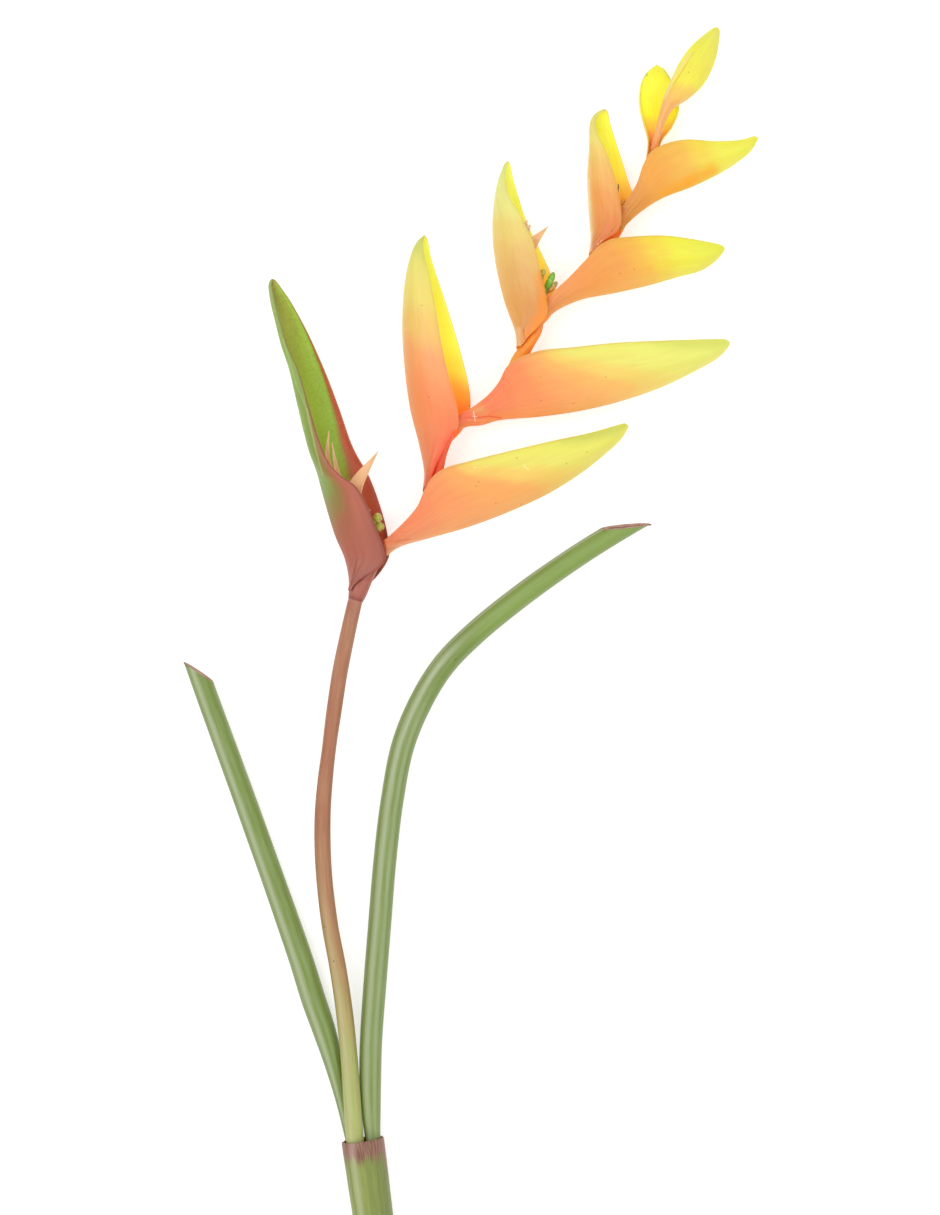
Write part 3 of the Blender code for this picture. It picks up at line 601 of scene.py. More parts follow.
# The bracts: stiff waxy leaves folded like boats, left and right in turn up the axis. The left ones
# are rolled open towards the viewer and show their yellow inside, and the right ones are closed. Each
# clasps the axis with its narrow base.
HEAD_Z = 17.5
BRACT_WALL = 1
KEEL_SHARPNESS = 0.5
FOLD_ROOM = 12
FOLDS = ((0.3, 0.3), (0.55, 0.42), (0.8, 0.3))  # (how far out from the keel, depth)
FOLD_WIDTH, FOLD_AT, FOLD_LENGTH, FOLD_SLANT = 0.05, 0.1, 0.12, 0.3
BRACT_RIB, BRACT_RIBS, MARGIN_WAVES = 0.02, 55, 9
FAR_TUCK = 1.5
BASE_FULLNESS = 1.2
TIP_TAPER = 2.2
TIP_ROUNDNESS = 0.8
TIP_CLOSING = 1.6
BRACT_ROWS = 150
BRACT_ACROSS = 48
MOTTLES_PER_M = 620
# Shape: keel, near and far margins in the plan from the base up to the tip they share, half the mouth's
# opening at the base and where it is widest, how far the keel drops below the margins, how far the tip
# lifts, how far the whole rises, and how much its walls curl and its margins wave.
# Skin: (share of the length, red, green, blue) from base to tip, outside and inside. The margins run
# ahead of the keel by lead (inner_lead inside), most near the edge where bend is high, from start on.
# flush reddens the margins' base and pale_keel paints light along the keel. The margin's line starts at edge,
# weighs line and has the colour margin. veins, mottle (inside) and glow (inside) are strengths, tint filters
# all, marks, a few of them painted highlight streaks, are (points, half width, colour, weight) and dots are
# freckles.
USUAL_BRACT = dict(
    far=[], drop=0, lift=0, rise=0, widest=0.42, curl=0.58, wave=0.45, lead=0, inner_lead=0, bend=2.2,
    start=-1, flush=0, pale_keel=0, veins=0.25, edge=0.965, line=0.35, glow=0.2, mottle=0,
    tint=(247, 253, 255), marks=[], dots=[])
BRACTS = {
    "basal_bract": dict(
        slot="basal_bract", half=(6.4, 14), drop=-5, tip=(-69.9, 658.8),
        keel=[(-16, 441), (-16.6, 452), (-19.5, 465), (-26, 480), (-34.5, 508), (-42.5, 539.5), (-49, 569),
              (-56, 598.5), (-63.3, 627), (-69.6, 645.5), (-71.4, 653), (-71.4, 657)],
        near=[(-15.5, 442), (-11.5, 446.5), (-4.5, 451.5), (3.5, 455.5), (9.5, 462.5), (7.8, 473.5),
              (4.6, 481), (1.5, 489.5), (-3, 500.5), (-11, 514), (-21, 521), (-29.5, 530), (-36.5, 546),
              (-43.5, 569), (-51, 594.5), (-59, 612), (-65.5, 634), (-69, 648), (-70.4, 655)],
        far=[(-14.5, 441), (-3, 446), (7, 456.5), (12, 467), (10.5, 481), (5.5, 500), (-2, 520),
             (-13.5, 540.5), (-23, 566.5), (-33.5, 594.5), (-45.5, 621), (-57.5, 643.5), (-63.5, 652.5),
             (-67.4, 657.6)],
        outside=[(-0.2, 162, 92, 78), (0.1, 178, 104, 84), (0.19, 168, 104, 74), (0.27, 146, 126, 66),
                 (0.35, 130, 154, 72), (0.55, 136, 166, 84), (0.8, 152, 174, 104), (1, 154, 168, 116)],
        # Inside, its base darkens into painted shade deep in the clasp round the axis, over the real
        # red-brown of its margins.
        inside=[(-0.6, 116, 50, 44), (-0.35, 168, 74, 58), (0, 180, 84, 60), (0.14, 166, 104, 58),
                (0.22, 146, 150, 52), (0.3, 140, 180, 50), (0.6, 146, 182, 56), (0.85, 146, 166, 62),
                (1, 136, 146, 64)],
        lead=-0.36, bend=3.2, inner_lead=-0.75, edge=0.93, line=0.7, glow=0.08, mottle=0.3,
        tint=(255, 255, 255), margin=(132, 66, 58),
        marks=[([(-10.2, 463.5), (-12.6, 453.5), (-14.7, 444.9)], 0.5, (112, 52, 50), 0.65),
               ([(-8.3, 462.5), (-10.6, 456)], 0.6, (206, 142, 118), 0.35),
               ([(-15.4, 441.6), (-10, 447.3), (-3.9, 450.6)], 0.7, (226, 168, 150), 0.7),
               # Painted highlight streaks down the green near wall.
               ([(-45.2, 567.7), (-39.8, 543), (-34.4, 522.2)], 1, (180, 200, 140), 0.45),
               ([(-62, 617), (-53, 586), (-45.2, 567.7)], 0.9, (180, 200, 140), 0.3)]),
    "right_bract_1": dict(
        slot="coral_bract", half=(5.4, 14), lift=-1.5, widest=0.4, tip=(178.8, 556.6),
        keel=[(10.2, 465.2), (14.5, 469), (21, 472.5), (40, 478), (68, 486), (96, 496.5), (124, 509.5),
              (148.5, 525), (165.5, 538.8), (173.7, 546.4), (177, 551.3), (178.6, 554.3)],
        near=[(8, 475.8), (13.5, 480.3), (24, 490.5), (32.3, 500.5), (37, 511.5), (42.5, 520.5), (51, 526.5),
              (68, 531.5), (96, 538.5), (127.5, 546), (152, 551.3), (165, 555), (172, 557.1), (176.5, 558.2)],
        outside=[(0, 240, 144, 98), (0.14, 250, 154, 104), (0.3, 255, 162, 102), (0.58, 255, 174, 96),
                 (0.7, 244, 204, 104), (0.82, 232, 226, 108), (0.95, 230, 230, 104), (1.15, 206, 212, 98)],
        inside=[(0, 255, 160, 60), (1, 245, 235, 70)],
        lead=0.36, start=0.2, flush=0.6, pale_keel=0.2, margin=(252, 200, 150),
        marks=[([(8.5, 475.2), (17, 475.7), (26.3, 477.3)], 0.8, (228, 96, 58), 0.7),
               ([(11, 472.3), (22, 473.7)], 0.8, (250, 180, 136), 0.4),
               ([(78.4, 528.4), (80.2, 527)], 0.35, (252, 226, 190), 0.8),
               ([(71.7, 527.2), (72.4, 527)], 0.6, (255, 246, 220), 0.8),
               ([(106, 528.8), (109.4, 525.4)], 0.5, (255, 244, 200), 0.7)],
        dots=[(150.2, 538.1), (135.7, 530.1), (74.5, 516.9), (72.8, 513.8), (86.4, 502.4), (104.3, 501.6)]),
    "left_bract_1": dict(
        slot="coral_bract", half=(5.2, 12.5), drop=-5, widest=0.4, tip=(36.7, 689.4),
        keel=[(35.5, 510), (36.5, 523), (33, 543), (26.5, 569), (22.5, 599), (21, 630.5), (23, 658.5),
              (27.4, 677.7), (30.5, 684.3), (33.4, 687.6)],
        near=[(40, 515), (45.5, 530.5), (53, 544), (60, 554.5), (60, 566.5), (54.5, 587.5), (49.5, 609.5),
              (44.5, 639), (39, 666), (36.3, 678), (35.8, 685)],
        far=[(43, 513), (47.5, 525), (50, 536.5), (54.5, 545), (61.5, 552.5), (66.5, 560), (68.8, 571),
             (68, 583), (61.2, 611), (52.5, 640), (43.9, 666), (41, 675.5), (39.7, 682.5), (38.7, 687)],
        outside=[(0, 246, 142, 104), (0.15, 252, 148, 104), (0.38, 255, 152, 96), (0.54, 250, 166, 106),
                 (0.66, 240, 194, 110), (0.78, 236, 212, 114), (0.9, 232, 218, 118), (0.97, 210, 212, 112),
                 (1.05, 192, 204, 100)],
        inside=[(0, 238, 96, 56), (0.26, 250, 130, 60), (0.38, 254, 168, 60), (0.48, 252, 218, 72),
                (0.6, 250, 240, 88), (0.9, 246, 242, 104), (1, 226, 228, 100)],
        lead=0.04, flush=1, pale_keel=0.15, margin=(250, 176, 130),
        marks=[([(42.5, 519), (47.5, 531), (54, 543.5), (58, 550)], 6, (238, 78, 40), 0.8),
               ([(40.5, 517), (44.5, 527), (51, 540)], 0.6, (214, 66, 44), 0.5)],
        dots=[(39.9, 576.3), (34.6, 640.2)]),
    "right_bract_2": dict(
        slot="coral_bract", half=(4.4, 14), lift=-1, widest=0.4, tip=(249.9, 614.9),
        keel=[(59.5, 553), (66.5, 556), (76.5, 557), (89, 560.5), (117, 563), (145, 567), (173, 573.5),
              (201, 583), (225.5, 594.5), (241, 603.2), (244.4, 606), (248, 610), (249.7, 612.6)],
        near=[(59.5, 563), (69, 568.5), (81, 577.5), (89, 587), (94.5, 597.5), (103, 603.5), (117, 608.5),
              (141.5, 611), (169.5, 614), (201, 615.6), (232.5, 616.9), (242.4, 617.2), (247.2, 617)],
        outside=[(0, 242, 134, 90), (0.12, 252, 144, 94), (0.3, 255, 152, 92), (0.46, 255, 170, 98),
                 (0.6, 252, 186, 100), (0.7, 244, 208, 106), (0.83, 234, 230, 116), (0.97, 232, 234, 118),
                 (1.15, 216, 222, 108)],
        inside=[(0, 255, 160, 60), (1, 245, 235, 70)],
        lead=0.38, start=0.2, flush=0.5, pale_keel=0.2, margin=(252, 200, 150),
        marks=[([(72, 568.3), (77, 567.2)], 5.5, (216, 162, 92), 0.7),
               ([(65.1, 562.1), (74.5, 562.5), (82.7, 563.2), (90.2, 562.1)], 0.9, (228, 88, 50), 0.75),
               ([(66, 564.8), (78, 565.2)], 0.5, (232, 116, 76), 0.4),
               ([(67.5, 560.3), (80, 560.6)], 0.8, (254, 192, 150), 0.4),
               ([(71.1, 566.5), (72.3, 559.6)], 0.5, (255, 236, 216), 0.9),
               ([(70.1, 563.2), (73.6, 562.7)], 0.4, (255, 236, 216), 0.7)],
        dots=[(117.9, 573.9), (140.8, 572.2), (163, 590)]),
    "left_bract_2": dict(
        slot="coral_bract", half=(4.6, 11.5), drop=-4.5, tip=(94.9, 741.3),
        keel=[(101.3, 610.5), (100.3, 622), (92.5, 644.5), (86.5, 670), (84.2, 695), (86, 719), (88.5, 729),
              (91.1, 735.6), (93, 739.7)],
        near=[(104, 612), (110, 619.5), (116.5, 626), (122.5, 634.5), (122, 646), (117.5, 665.5),
              (112, 686.5), (103.5, 703.5), (95.6, 717), (93.2, 729), (93.7, 736.5)],
        far=[(109, 608.5), (113.5, 617), (119, 627), (126, 636), (129, 649.5), (124.5, 665.5), (117, 682),
             (109.5, 697), (102.5, 717), (98.2, 731.7), (97.1, 736.8), (96.4, 740)],
        outside=[(0, 228, 166, 104), (0.25, 226, 168, 96), (0.4, 229, 180, 108), (0.52, 232, 190, 112),
                 (0.64, 232, 206, 120), (0.76, 229, 219, 134), (0.88, 225, 225, 144), (1.05, 214, 220, 134)],
        inside=[(0, 232, 122, 58), (0.22, 246, 156, 78), (0.38, 250, 196, 84), (0.5, 248, 222, 96),
                (0.66, 246, 240, 116), (0.92, 240, 240, 110), (1.05, 224, 230, 96)],
        lead=0.02, flush=0.4, pale_keel=0.25, margin=(246, 196, 120),
        marks=[([(109.5, 619), (118, 630), (121.5, 643), (118.5, 660)], 8, (248, 150, 40), 0.8),
               ([(102.8, 612.5), (102.8, 624)], 3, (240, 204, 150), 0.6),
               ([(105.9, 624.1), (106.9, 616.7)], 0.5, (170, 96, 50), 0.8),
               ([(109.4, 692.6), (107.6, 697), (106.6, 699.4)], 0.9, (250, 196, 176), 0.6)]),
    "right_bract_3": dict(
        slot="amber_bract", half=(4.2, 11.5), lift=-0.5, tip=(246.1, 680.9),
        keel=[(123, 632.5), (129, 637), (136.5, 641), (148.5, 645.5), (169.5, 649.5), (194, 655), (215, 661),
              (230.5, 665.3), (239.8, 671.3), (243.8, 675.5), (245.8, 678.5)],
        near=[(121, 644), (127.5, 650.5), (138, 660), (149, 671.5), (159, 682), (167.5, 686.5), (180, 688),
              (204.5, 689), (225.5, 686.4), (238.5, 684.2), (243.6, 683.1)],
        outside=[(0, 236, 158, 94), (0.14, 244, 164, 92), (0.28, 246, 161, 80), (0.44, 250, 169, 78),
                 (0.56, 253, 186, 74), (0.66, 249, 216, 68), (0.76, 242, 236, 66), (0.94, 238, 238, 78),
                 (1.1, 218, 220, 82)],
        inside=[(0, 250, 170, 60), (1, 248, 240, 60)],
        lead=0.04, flush=0.2, pale_keel=0.3, margin=(252, 206, 130),
        marks=[([(153, 677.2), (159.6, 683.2)], 0.7, (255, 230, 206), 0.8),
               ([(183, 665.9), (183.6, 665.5)], 0.5, (150, 90, 40), 0.7)],
        dots=[(172.9, 662.6)]),
    "left_bract_3": dict(
        slot="amber_bract", half=(3.8, 9), drop=-3.5, tip=(162.6, 777.8),
        keel=[(152, 674.5), (153, 688), (151.7, 707.5), (150.6, 728.5), (151.8, 749), (153.8, 765),
              (156.2, 772.8), (159.2, 776.3)],
        near=[(155, 678.5), (160, 684.3), (165.6, 688.3), (170.5, 691.6), (173.6, 696), (174.3, 701.5),
              (173.6, 712), (168.5, 733.5), (163, 749), (157.6, 760.5), (156.2, 767.5), (158, 773.5)],
        far=[(159.5, 675.5), (171, 686.5), (178.5, 699.5), (183, 716), (178.5, 732), (172, 752), (167, 767),
             (165.6, 772.5), (164.9, 775.8)],
        outside=[(0, 232, 158, 100), (0.2, 236, 154, 82), (0.4, 248, 167, 86), (0.55, 248, 184, 100),
                 (0.7, 244, 202, 108), (0.8, 238, 216, 118), (1.05, 232, 224, 140)],
        inside=[(0, 240, 156, 90), (0.16, 234, 128, 66), (0.34, 240, 154, 66), (0.46, 250, 202, 84),
                (0.6, 246, 228, 74), (0.76, 244, 240, 68), (0.92, 236, 234, 66), (1.05, 218, 212, 58)],
        lead=0.02, flush=0.5, pale_keel=0.7, veins=0.5, margin=(250, 184, 120),
        marks=[([(152.6, 679), (153.2, 692), (152, 712), (151, 728)], 2.4, (248, 220, 176), 0.6),
               ([(167.2, 691.8), (168, 693.2)], 0.5, (112, 56, 58), 0.8),
               ([(168.7, 693.7), (169.4, 694.6)], 0.5, (112, 56, 58), 0.7),
               ([(165.6, 690.2), (166.1, 690.9)], 0.4, (132, 66, 58), 0.7),
               ([(170.2, 695.4), (170.6, 696.4)], 0.4, (132, 66, 58), 0.6),
               ([(157.3, 682.9), (158.4, 684.2)], 0.5, (255, 240, 226), 0.8),
               ([(159.8, 685.2), (160.9, 686.3)], 0.5, (255, 240, 226), 0.8)]),
    "right_bract_4": dict(
        slot="amber_bract", half=(3.6, 9.5), tip=(269.4, 758.2),
        keel=[(173.5, 692.5), (180.5, 700), (191, 708.5), (204.5, 716.5), (225.5, 724.5), (246.5, 735),
              (260.5, 744.6), (265.2, 748.9), (268, 753), (269.5, 756)],
        near=[(172.5, 707), (180, 716.5), (186, 727), (189.5, 738), (194.5, 747), (203.5, 752.5),
              (218.5, 756), (239.5, 755), (254, 755.7), (262, 757.3), (267, 758.9)],
        outside=[(0, 206, 140, 62), (0.14, 226, 158, 72), (0.34, 249, 172, 70), (0.52, 248, 188, 80),
                 (0.64, 246, 212, 76), (0.76, 243, 232, 82), (0.9, 240, 234, 84), (1.1, 224, 220, 84)],
        inside=[(0, 250, 176, 60), (1, 248, 240, 70)],
        pale_keel=0.15, margin=(252, 206, 130),
        marks=[([(206, 719), (222, 727), (238, 735)], 7.5, (255, 168, 18), 0.7)]),
    "left_bract_4": dict(
        slot="yellow_bract", half=(0, 0), drop=-5, lift=-9, rise=-0.9, widest=0.5, wave=0.08,
        tip=(200, 810.8),
        keel=[(195.3, 742), (197.5, 756.5), (199.5, 772), (200.4, 788), (200.4, 801.5)],
        near=[(192.8, 743), (194, 751), (194.2, 757.5), (192.6, 765), (190.4, 773), (188.8, 781),
              (188.4, 790), (190.1, 798.5), (193.2, 804.4), (196.2, 808)],
        far=[(198, 742), (202.3, 757), (209, 766), (214, 778), (212.6, 790), (209, 799), (206, 804.4),
             (203.4, 808)],
        outside=[(0, 240, 150, 80), (0.22, 250, 190, 92), (0.36, 252, 220, 104), (0.5, 250, 242, 120),
                 (1, 244, 244, 130)],
        inside=[(0, 222, 144, 84), (0.14, 216, 132, 72), (0.26, 244, 166, 88), (0.38, 250, 204, 78),
                (0.48, 246, 232, 52), (0.8, 244, 240, 64), (1, 232, 226, 64)],
        glow=0.12, margin=(236, 234, 110)),
    "top_bract": dict(
        slot="yellow_bract", half=(0.9, 2.3), lift=3, rise=1.5, widest=0.55, curl=0.88, tip=(241.5, 834.3),
        keel=[(199.7, 749), (201.7, 759), (206, 770.5), (211, 778.5), (222.5, 786), (232.5, 796),
              (239.8, 811), (242.6, 823.7), (243.3, 829), (243.2, 832.4)],
        near=[(196, 750), (199, 763), (202, 776), (206, 789), (212, 803.5), (220, 817.5), (228.9, 826.5),
              (234.6, 831.1), (238.7, 833.8)],
        outside=[(0, 252, 158, 96), (0.14, 255, 184, 120), (0.34, 254, 186, 112), (0.46, 250, 208, 100),
                 (0.56, 247, 238, 74), (0.8, 245, 240, 84), (0.94, 241, 240, 104), (1.06, 224, 226, 110)],
        inside=[(0, 250, 170, 80), (1, 246, 240, 80)],
        lead=0.04, pale_keel=0.2, veins=0.4, tint=(254, 255, 255), margin=(248, 214, 156),
        marks=[([(204.5, 786), (211, 800), (221.5, 815.5)], 2, (248, 222, 166), 0.6),
               ([(213, 780.3), (222, 785.8), (229.6, 790.2)], 1.5, (252, 208, 166), 0.6),
               ([(210.4, 794.5), (218, 806), (225.1, 817.7)], 0.5, (200, 140, 80), 0.5)],
        dots=[(221, 803)]),
}

# How far a bract's colour has come, 0 at its base to 1 at its tip: sooner at the margins by Lead, from
# Start on, and uneven by Wander. From Keel is 0 at the keel and 1 at the margins, Flush is the part that
# reddens, and Near is 1 on the near wall and 0 on the far one.
reach, given, gives = new_group(
    "bract_reach", [("Skin", "Vector", None), ("Lead", "Float", 0.3), ("Bend", "Float", 2.2),
                    ("Start", "Float", 0.2), ("Wander", "Float", 0.08)],
    [("Reach", "Float"), ("From Keel", "Float"), ("Flush", "Float"), ("Near", "Float")])
skin_across, skin_along = node("SeparateXYZ", {0: given["Skin"]}).outputs[:2]
doubled = calculate("SUBTRACT", times(skin_across, 2), 1)
from_keel = calculate("ABSOLUTE", doubled)
cloud = clouds(given["Skin"], 5, 2, noise_dimensions="2D")
drift = times(calculate("SUBTRACT", cloud, 0.5), given["Wander"])
begun = spread(calculate("SUBTRACT", skin_along, given["Start"]), 0, 0.25)
lead = times(times(calculate("POWER", from_keel, given["Bend"]), given["Lead"]), begun)
for label, value in (
        ("Reach", calculate("ADD", calculate("ADD", skin_along, lead), drift)),
        ("From Keel", from_keel), ("Near", spread(doubled, -0.05, 0.05)),
        ("Flush", times(spread(from_keel, 0.35, 0.9), spread(skin_along, 0.42, 0.16)))):
    reach.links.new(value, gives[label])

# A thin straight mark from one point to another in the plan, such as a crease, a scar, a freckle and a
# painted highlight streak.
marking, given, gives = new_group(
    "line_mark", [("Place", "Vector", None), ("From", "Vector", None), ("To", "Vector", None),
                  ("Half Width", "Float", 0.0005)], [("Mask", "Float")])


def vector_node(way, values, result=0):
    return node("VectorMath", values, operation=way).outputs[result]


plan = vector_node("MULTIPLY", {0: given["Place"], 1: (1, 1, 0)})
stroke = vector_node("SUBTRACT", {0: given["To"], 1: given["From"]})
away = vector_node("SUBTRACT", {0: plan, 1: given["From"]})
gone = vector_node("DOT_PRODUCT", {0: away, 1: stroke}, "Value")
whole = vector_node("DOT_PRODUCT", {0: stroke, 1: stroke}, "Value")
share = node("Math", {0: gone, 1: whole}, operation="DIVIDE", use_clamp=True).outputs[0]
foot = vector_node("SCALE", {0: stroke, "Scale": share})
gap = vector_node("DISTANCE", {0: away, 1: foot}, "Value")
marking.links.new(spread(gap, given["Half Width"], 0), gives["Mask"])


def widening(t, at_base, at_widest, widest):
    """Half width of a bract's hollow, a fraction t of the way from base to tip."""
    if t < widest:
        rise = t / widest
        return at_base + (at_widest - at_base) * math.sin(rise * math.pi / 2) ** BASE_FULLNESS
    fall = (t - widest) / (1 - widest)
    return at_widest * (1 - fall ** TIP_TAPER) ** TIP_ROUNDNESS


def bract_rails(spec, count):
    """Keel, near margin and far margin as rows of points in space, from base to tip."""
    keel, near, far = (smooth_line([*spec[key], spec["tip"]], count, TIP_CLOSING) if spec[key] else None
                       for key in ("keel", "near", "far"))
    if far is None:
        inward = keel - near
        depth = np.maximum(np.linalg.norm(inward, axis=1, keepdims=True), 1e-6)
        far = near + inward / depth * np.minimum(FAR_TUCK, depth * 0.1)
    rails = []
    for i in range(count):
        t = 1 - (1 - i / (count - 1)) ** TIP_CLOSING
        half = widening(t, *spec["half"], spec["widest"])
        middle = HEAD_Z + spec["rise"] + spec["lift"] * t
        bed = middle + spec["drop"] * math.sin(math.pi * min(t * 1.15 + 0.02, 1)) ** 0.6
        rails.append((t, Vector((*keel[i], bed)), Vector((*near[i], middle + half)),
                      Vector((*far[i], middle - half))))
    return rails


def bract_relief(out, t, near_side, seed, waviness, room):
    """How far the skin stands out: a waved margin, folds out from a base with room for them, fine ribs."""
    wave = waviness * noise.noise((t * MARGIN_WAVES, seed, near_side * 3)) * out ** 3
    along = math.exp(-((t - FOLD_AT) / FOLD_LENGTH) ** 2)
    folds = 0
    for slope, strength in FOLDS:
        off_line = out - slope - FOLD_SLANT * t
        folds += room * strength * math.exp(-(off_line / FOLD_WIDTH) ** 2) * along
    ribs = BRACT_RIB * math.sin(out * BRACT_RIBS + seed)
    return (wave - folds + ribs) * min(1, t * 12) * min(1, (1 - t) * 8)


def bract_blade(rails, curl, across, seed, waviness):
    """The inner face of a bract as an open sheet hung from its keel to both margins."""
    rows = len(rails) - 1
    bm = bmesh.new()
    skin_map = bm.loops.layers.uv.new("UVMap")
    bmesh.ops.create_grid(bm, x_segments=across, y_segments=rows, size=1, calc_uvs=True)
    moves = {}
    for vertex in bm.verts:
        t, keel, near, far = rails[round((vertex.co.y + 1) / 2 * rows)]
        near_side = vertex.co.x > 0
        side = near if near_side else far
        out = abs(vertex.co.x)
        for loop in vertex.link_loops:
            loop[skin_map].uv.y = t
        middle = (near + far) / 2
        inward = middle - keel
        deep = min(1, inward.length / (4 * BRACT_WALL))
        bed = keel + inward.normalized() * min(BRACT_WALL * deep, inward.length)
        rise = KEEL_SHARPNESS * out + (1 - KEEL_SHARPNESS) * out ** 2
        swell = math.sin(curl * math.pi * out) / math.sin(curl * math.pi)
        room = min(1, inward.length / FOLD_ROOM) ** 2
        moves[vertex] = bract_relief(out, t, near_side, seed, waviness, room)
        vertex.co = (bed + (middle - bed) * rise + (side - middle) * swell) * MM
    t, keel, near, far = rails[rows // 2]
    bm.normal_update()
    face = min(bm.faces, key=lambda f: (f.calc_center_median() / MM - keel).length)
    if face.normal.dot(keel - (near + far) / 2) < 0:
        bmesh.ops.reverse_faces(bm, faces=bm.faces)
        bm.normal_update()
    for vertex in bm.verts:
        vertex.co += vertex.normal * moves[vertex] * MM
    bmesh.ops.remove_doubles(bm, verts=bm.verts, dist=1e-5)
    return bm


def bract_skin(name, look, inner):
    """Waxy bract skin: the colour's run from base to tip, lengthwise veins, margin line and marks."""
    material, tree, shader, grain, turn, length, place = skin(
        name, roughness=0.5 if inner else 0.46, count=60, breaks=5)
    stops = look["inside" if inner else "outside"]
    run = node("Group", {
        "Skin": new_node(tree, "TexCoord").outputs["UV"], "Lead": look["inner_lead" if inner else "lead"],
        "Bend": 3 if inner else look["bend"], "Start": look["start"]}, node_tree=reach).outputs
    low, high = stops[0][0], stops[-1][0]
    position = node("MapRange", {"Value": run["Reach"], "From Min": low, "From Max": high})
    tone = ramp(position.outputs["Result"], [((at - low) / (high - low), *rgb) for at, *rgb in stops])
    if not inner:
        red = mix(1, tone, (252, 214, 196), "MULTIPLY")
        tone = mix(times(run["Flush"], look["flush"]), tone, red)
        # Painted light along the keel, where it turns away from the lamps.
        keel = spread(run["From Keel"], 0.5, 0, 0, look["pale_keel"])
        tone = mix(keel, tone, (255, 216, 150))
    tone = mix(1, tone, look["tint"], "MULTIPLY")
    if inner and look["mottle"]:
        mottles = spread(clouds(place, MOTTLES_PER_M, 3), 0.42, 0.62, 0, look["mottle"])
        tone = mix(mottles, tone, mix(1, tone, (226, 186, 176), "MULTIPLY"))
    darker = mix(1, tone, (232, 206, 192), "MULTIPLY")
    near_base = spread(length, 0.6, 0.1, 0.35, 1)
    veins = times(spread(grain["Lines"], 0, 1, look["veins"], 0), near_base)
    tone = mix(veins, tone, darker)
    tone = mix(spread(grain["Bands"], 0.3, 1, 0, 0.1), tone, darker)
    line = spread(run["From Keel"], 0.985 if inner else look["edge"], 1, 0, look["line"])
    tone = mix(line, tone, look["margin"])
    tone = speckled(place, 120, 0.2, 0.09, tone, (158, 96, 50))
    dots = [([(x, y), (x + 0.4, y + 0.2)], 0.6, (126, 76, 44), 0.6) for x, y in look["dots"]]
    for points, half_width, colour, weight in ([] if inner else look["marks"] + dots):
        for start, end in zip(points, points[1:]):
            mark = node("Group", {
                "Place": place, "From": (start[0] * MM, start[1] * MM, 0),
                "To": (end[0] * MM, end[1] * MM, 0), "Half Width": half_width * MM}, node_tree=marking)
            on_near = times(mark.outputs["Mask"], run["Near"])
            tone = mix(times(on_near, weight), tone, colour)
    finish_skin(shader, tone, grain["Lines"], 0.05)
    if inner:
        lit = mix(spread(length, 0.85, 0.4, 0.25, 1), (0, 0, 0), tone)
        tree.links.new(lit, shader.inputs["Emission Color"])
        set_plain(shader, Emission_Strength=look["glow"])
    set_plain(shader, Subsurface_Weight=0.85, Subsurface_Radius=(1, 0.8, 0.45), Subsurface_Scale=4 * MM)
    return material


for order, (bract_name, spec) in enumerate(BRACTS.items()):
    spec = {**USUAL_BRACT, **spec}
    outer = bract_skin(bract_name + "_outside", spec, inner=False)
    inner = bract_skin(bract_name + "_inside", spec, inner=True)
    rails = bract_rails(spec, BRACT_ROWS + 1)
    blade = bract_blade(rails, spec["curl"], BRACT_ACROSS, order * 7.3, spec["wave"])
    bract = new_object("heliconia_" + bract_name, blade, outer, inner)
    wall = bract.modifiers.new("wall", "SOLIDIFY")
    wall.thickness = BRACT_WALL * MM
    wall.offset = 1
    wall.use_quality_normals = True
    wall.material_offset = 1
    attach(bract, "root")
    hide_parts(bract_name)


# The flowers: each bract shelters a few. Their narrow cream sepals, ribbed and drawn out to a point,
# stand out of the bract's mouth, and small plump fruits sit beside them on short stalks.
SEPAL_ROWS = 48
SEPAL_ACROSS = 16
SEPAL_CLOSING = 1.4
SEPAL_WALL = 0.7
SEPAL_RIB = 0.14
SEPALS = {  # each blade is (foot, bend, tip, half its width)
    "basal_sepals": ("basal_flowers", [
        ((-22, 503, 17), (-31, 533, 16.5), (-30.2, 553.7, 16), 2.9),
        ((-16.5, 497, 15), (-25, 527, 15), (-28.2, 545.4, 14.5), 2.9),
        ((-15, 497, 19), (-12, 513, 21), (4.6, 539, 24), 5.6),
        ((-9, 489, 17), (-4.5, 492.5, 18), (-1.3, 498.2, 19), 2)]),
    "middle_sepals": ("middle_flowers", [
        ((107, 664, 18), (110.4, 681, 19.5), (123.4, 696.4, 21), 5.6),
        # torn bits at the middle sepal's foot
        ((107.4, 695.4, 27.4), (107.6, 697.8, 28.3), (108.6, 699.8, 28.5), 1.5),
        ((108.8, 692.2, 27.4), (109.6, 694.8, 28.4), (110.8, 696.6, 28.6), 1.5)]),
}
sepal_skin, tree, shader, grain, turn, length, place = skin(
    "sepal_skin", roughness=0.5, count=14, breaks=3)
tone = ramp(length, [(0, 214, 158, 108), (0.45, 222, 182, 134), (0.85, 230, 198, 154), (1, 232, 198, 166)])
tone = mix(spread(grain["Lines"], 0.1, 0.9, 0.45, 0), tone, (206, 150, 102))
tone = speckled(place, 400, 0.05, 0.12, tone, (150, 96, 66))
finish_skin(shader, tone, grain["Lines"], 0.2)
# The sepals glow faintly: painted light that stands in for the light coming through them.
tree.links.new(tone, shader.inputs["Emission Color"])
set_plain(shader, Emission_Strength=0.22, Subsurface_Weight=0.3, Subsurface_Scale=2 * MM)
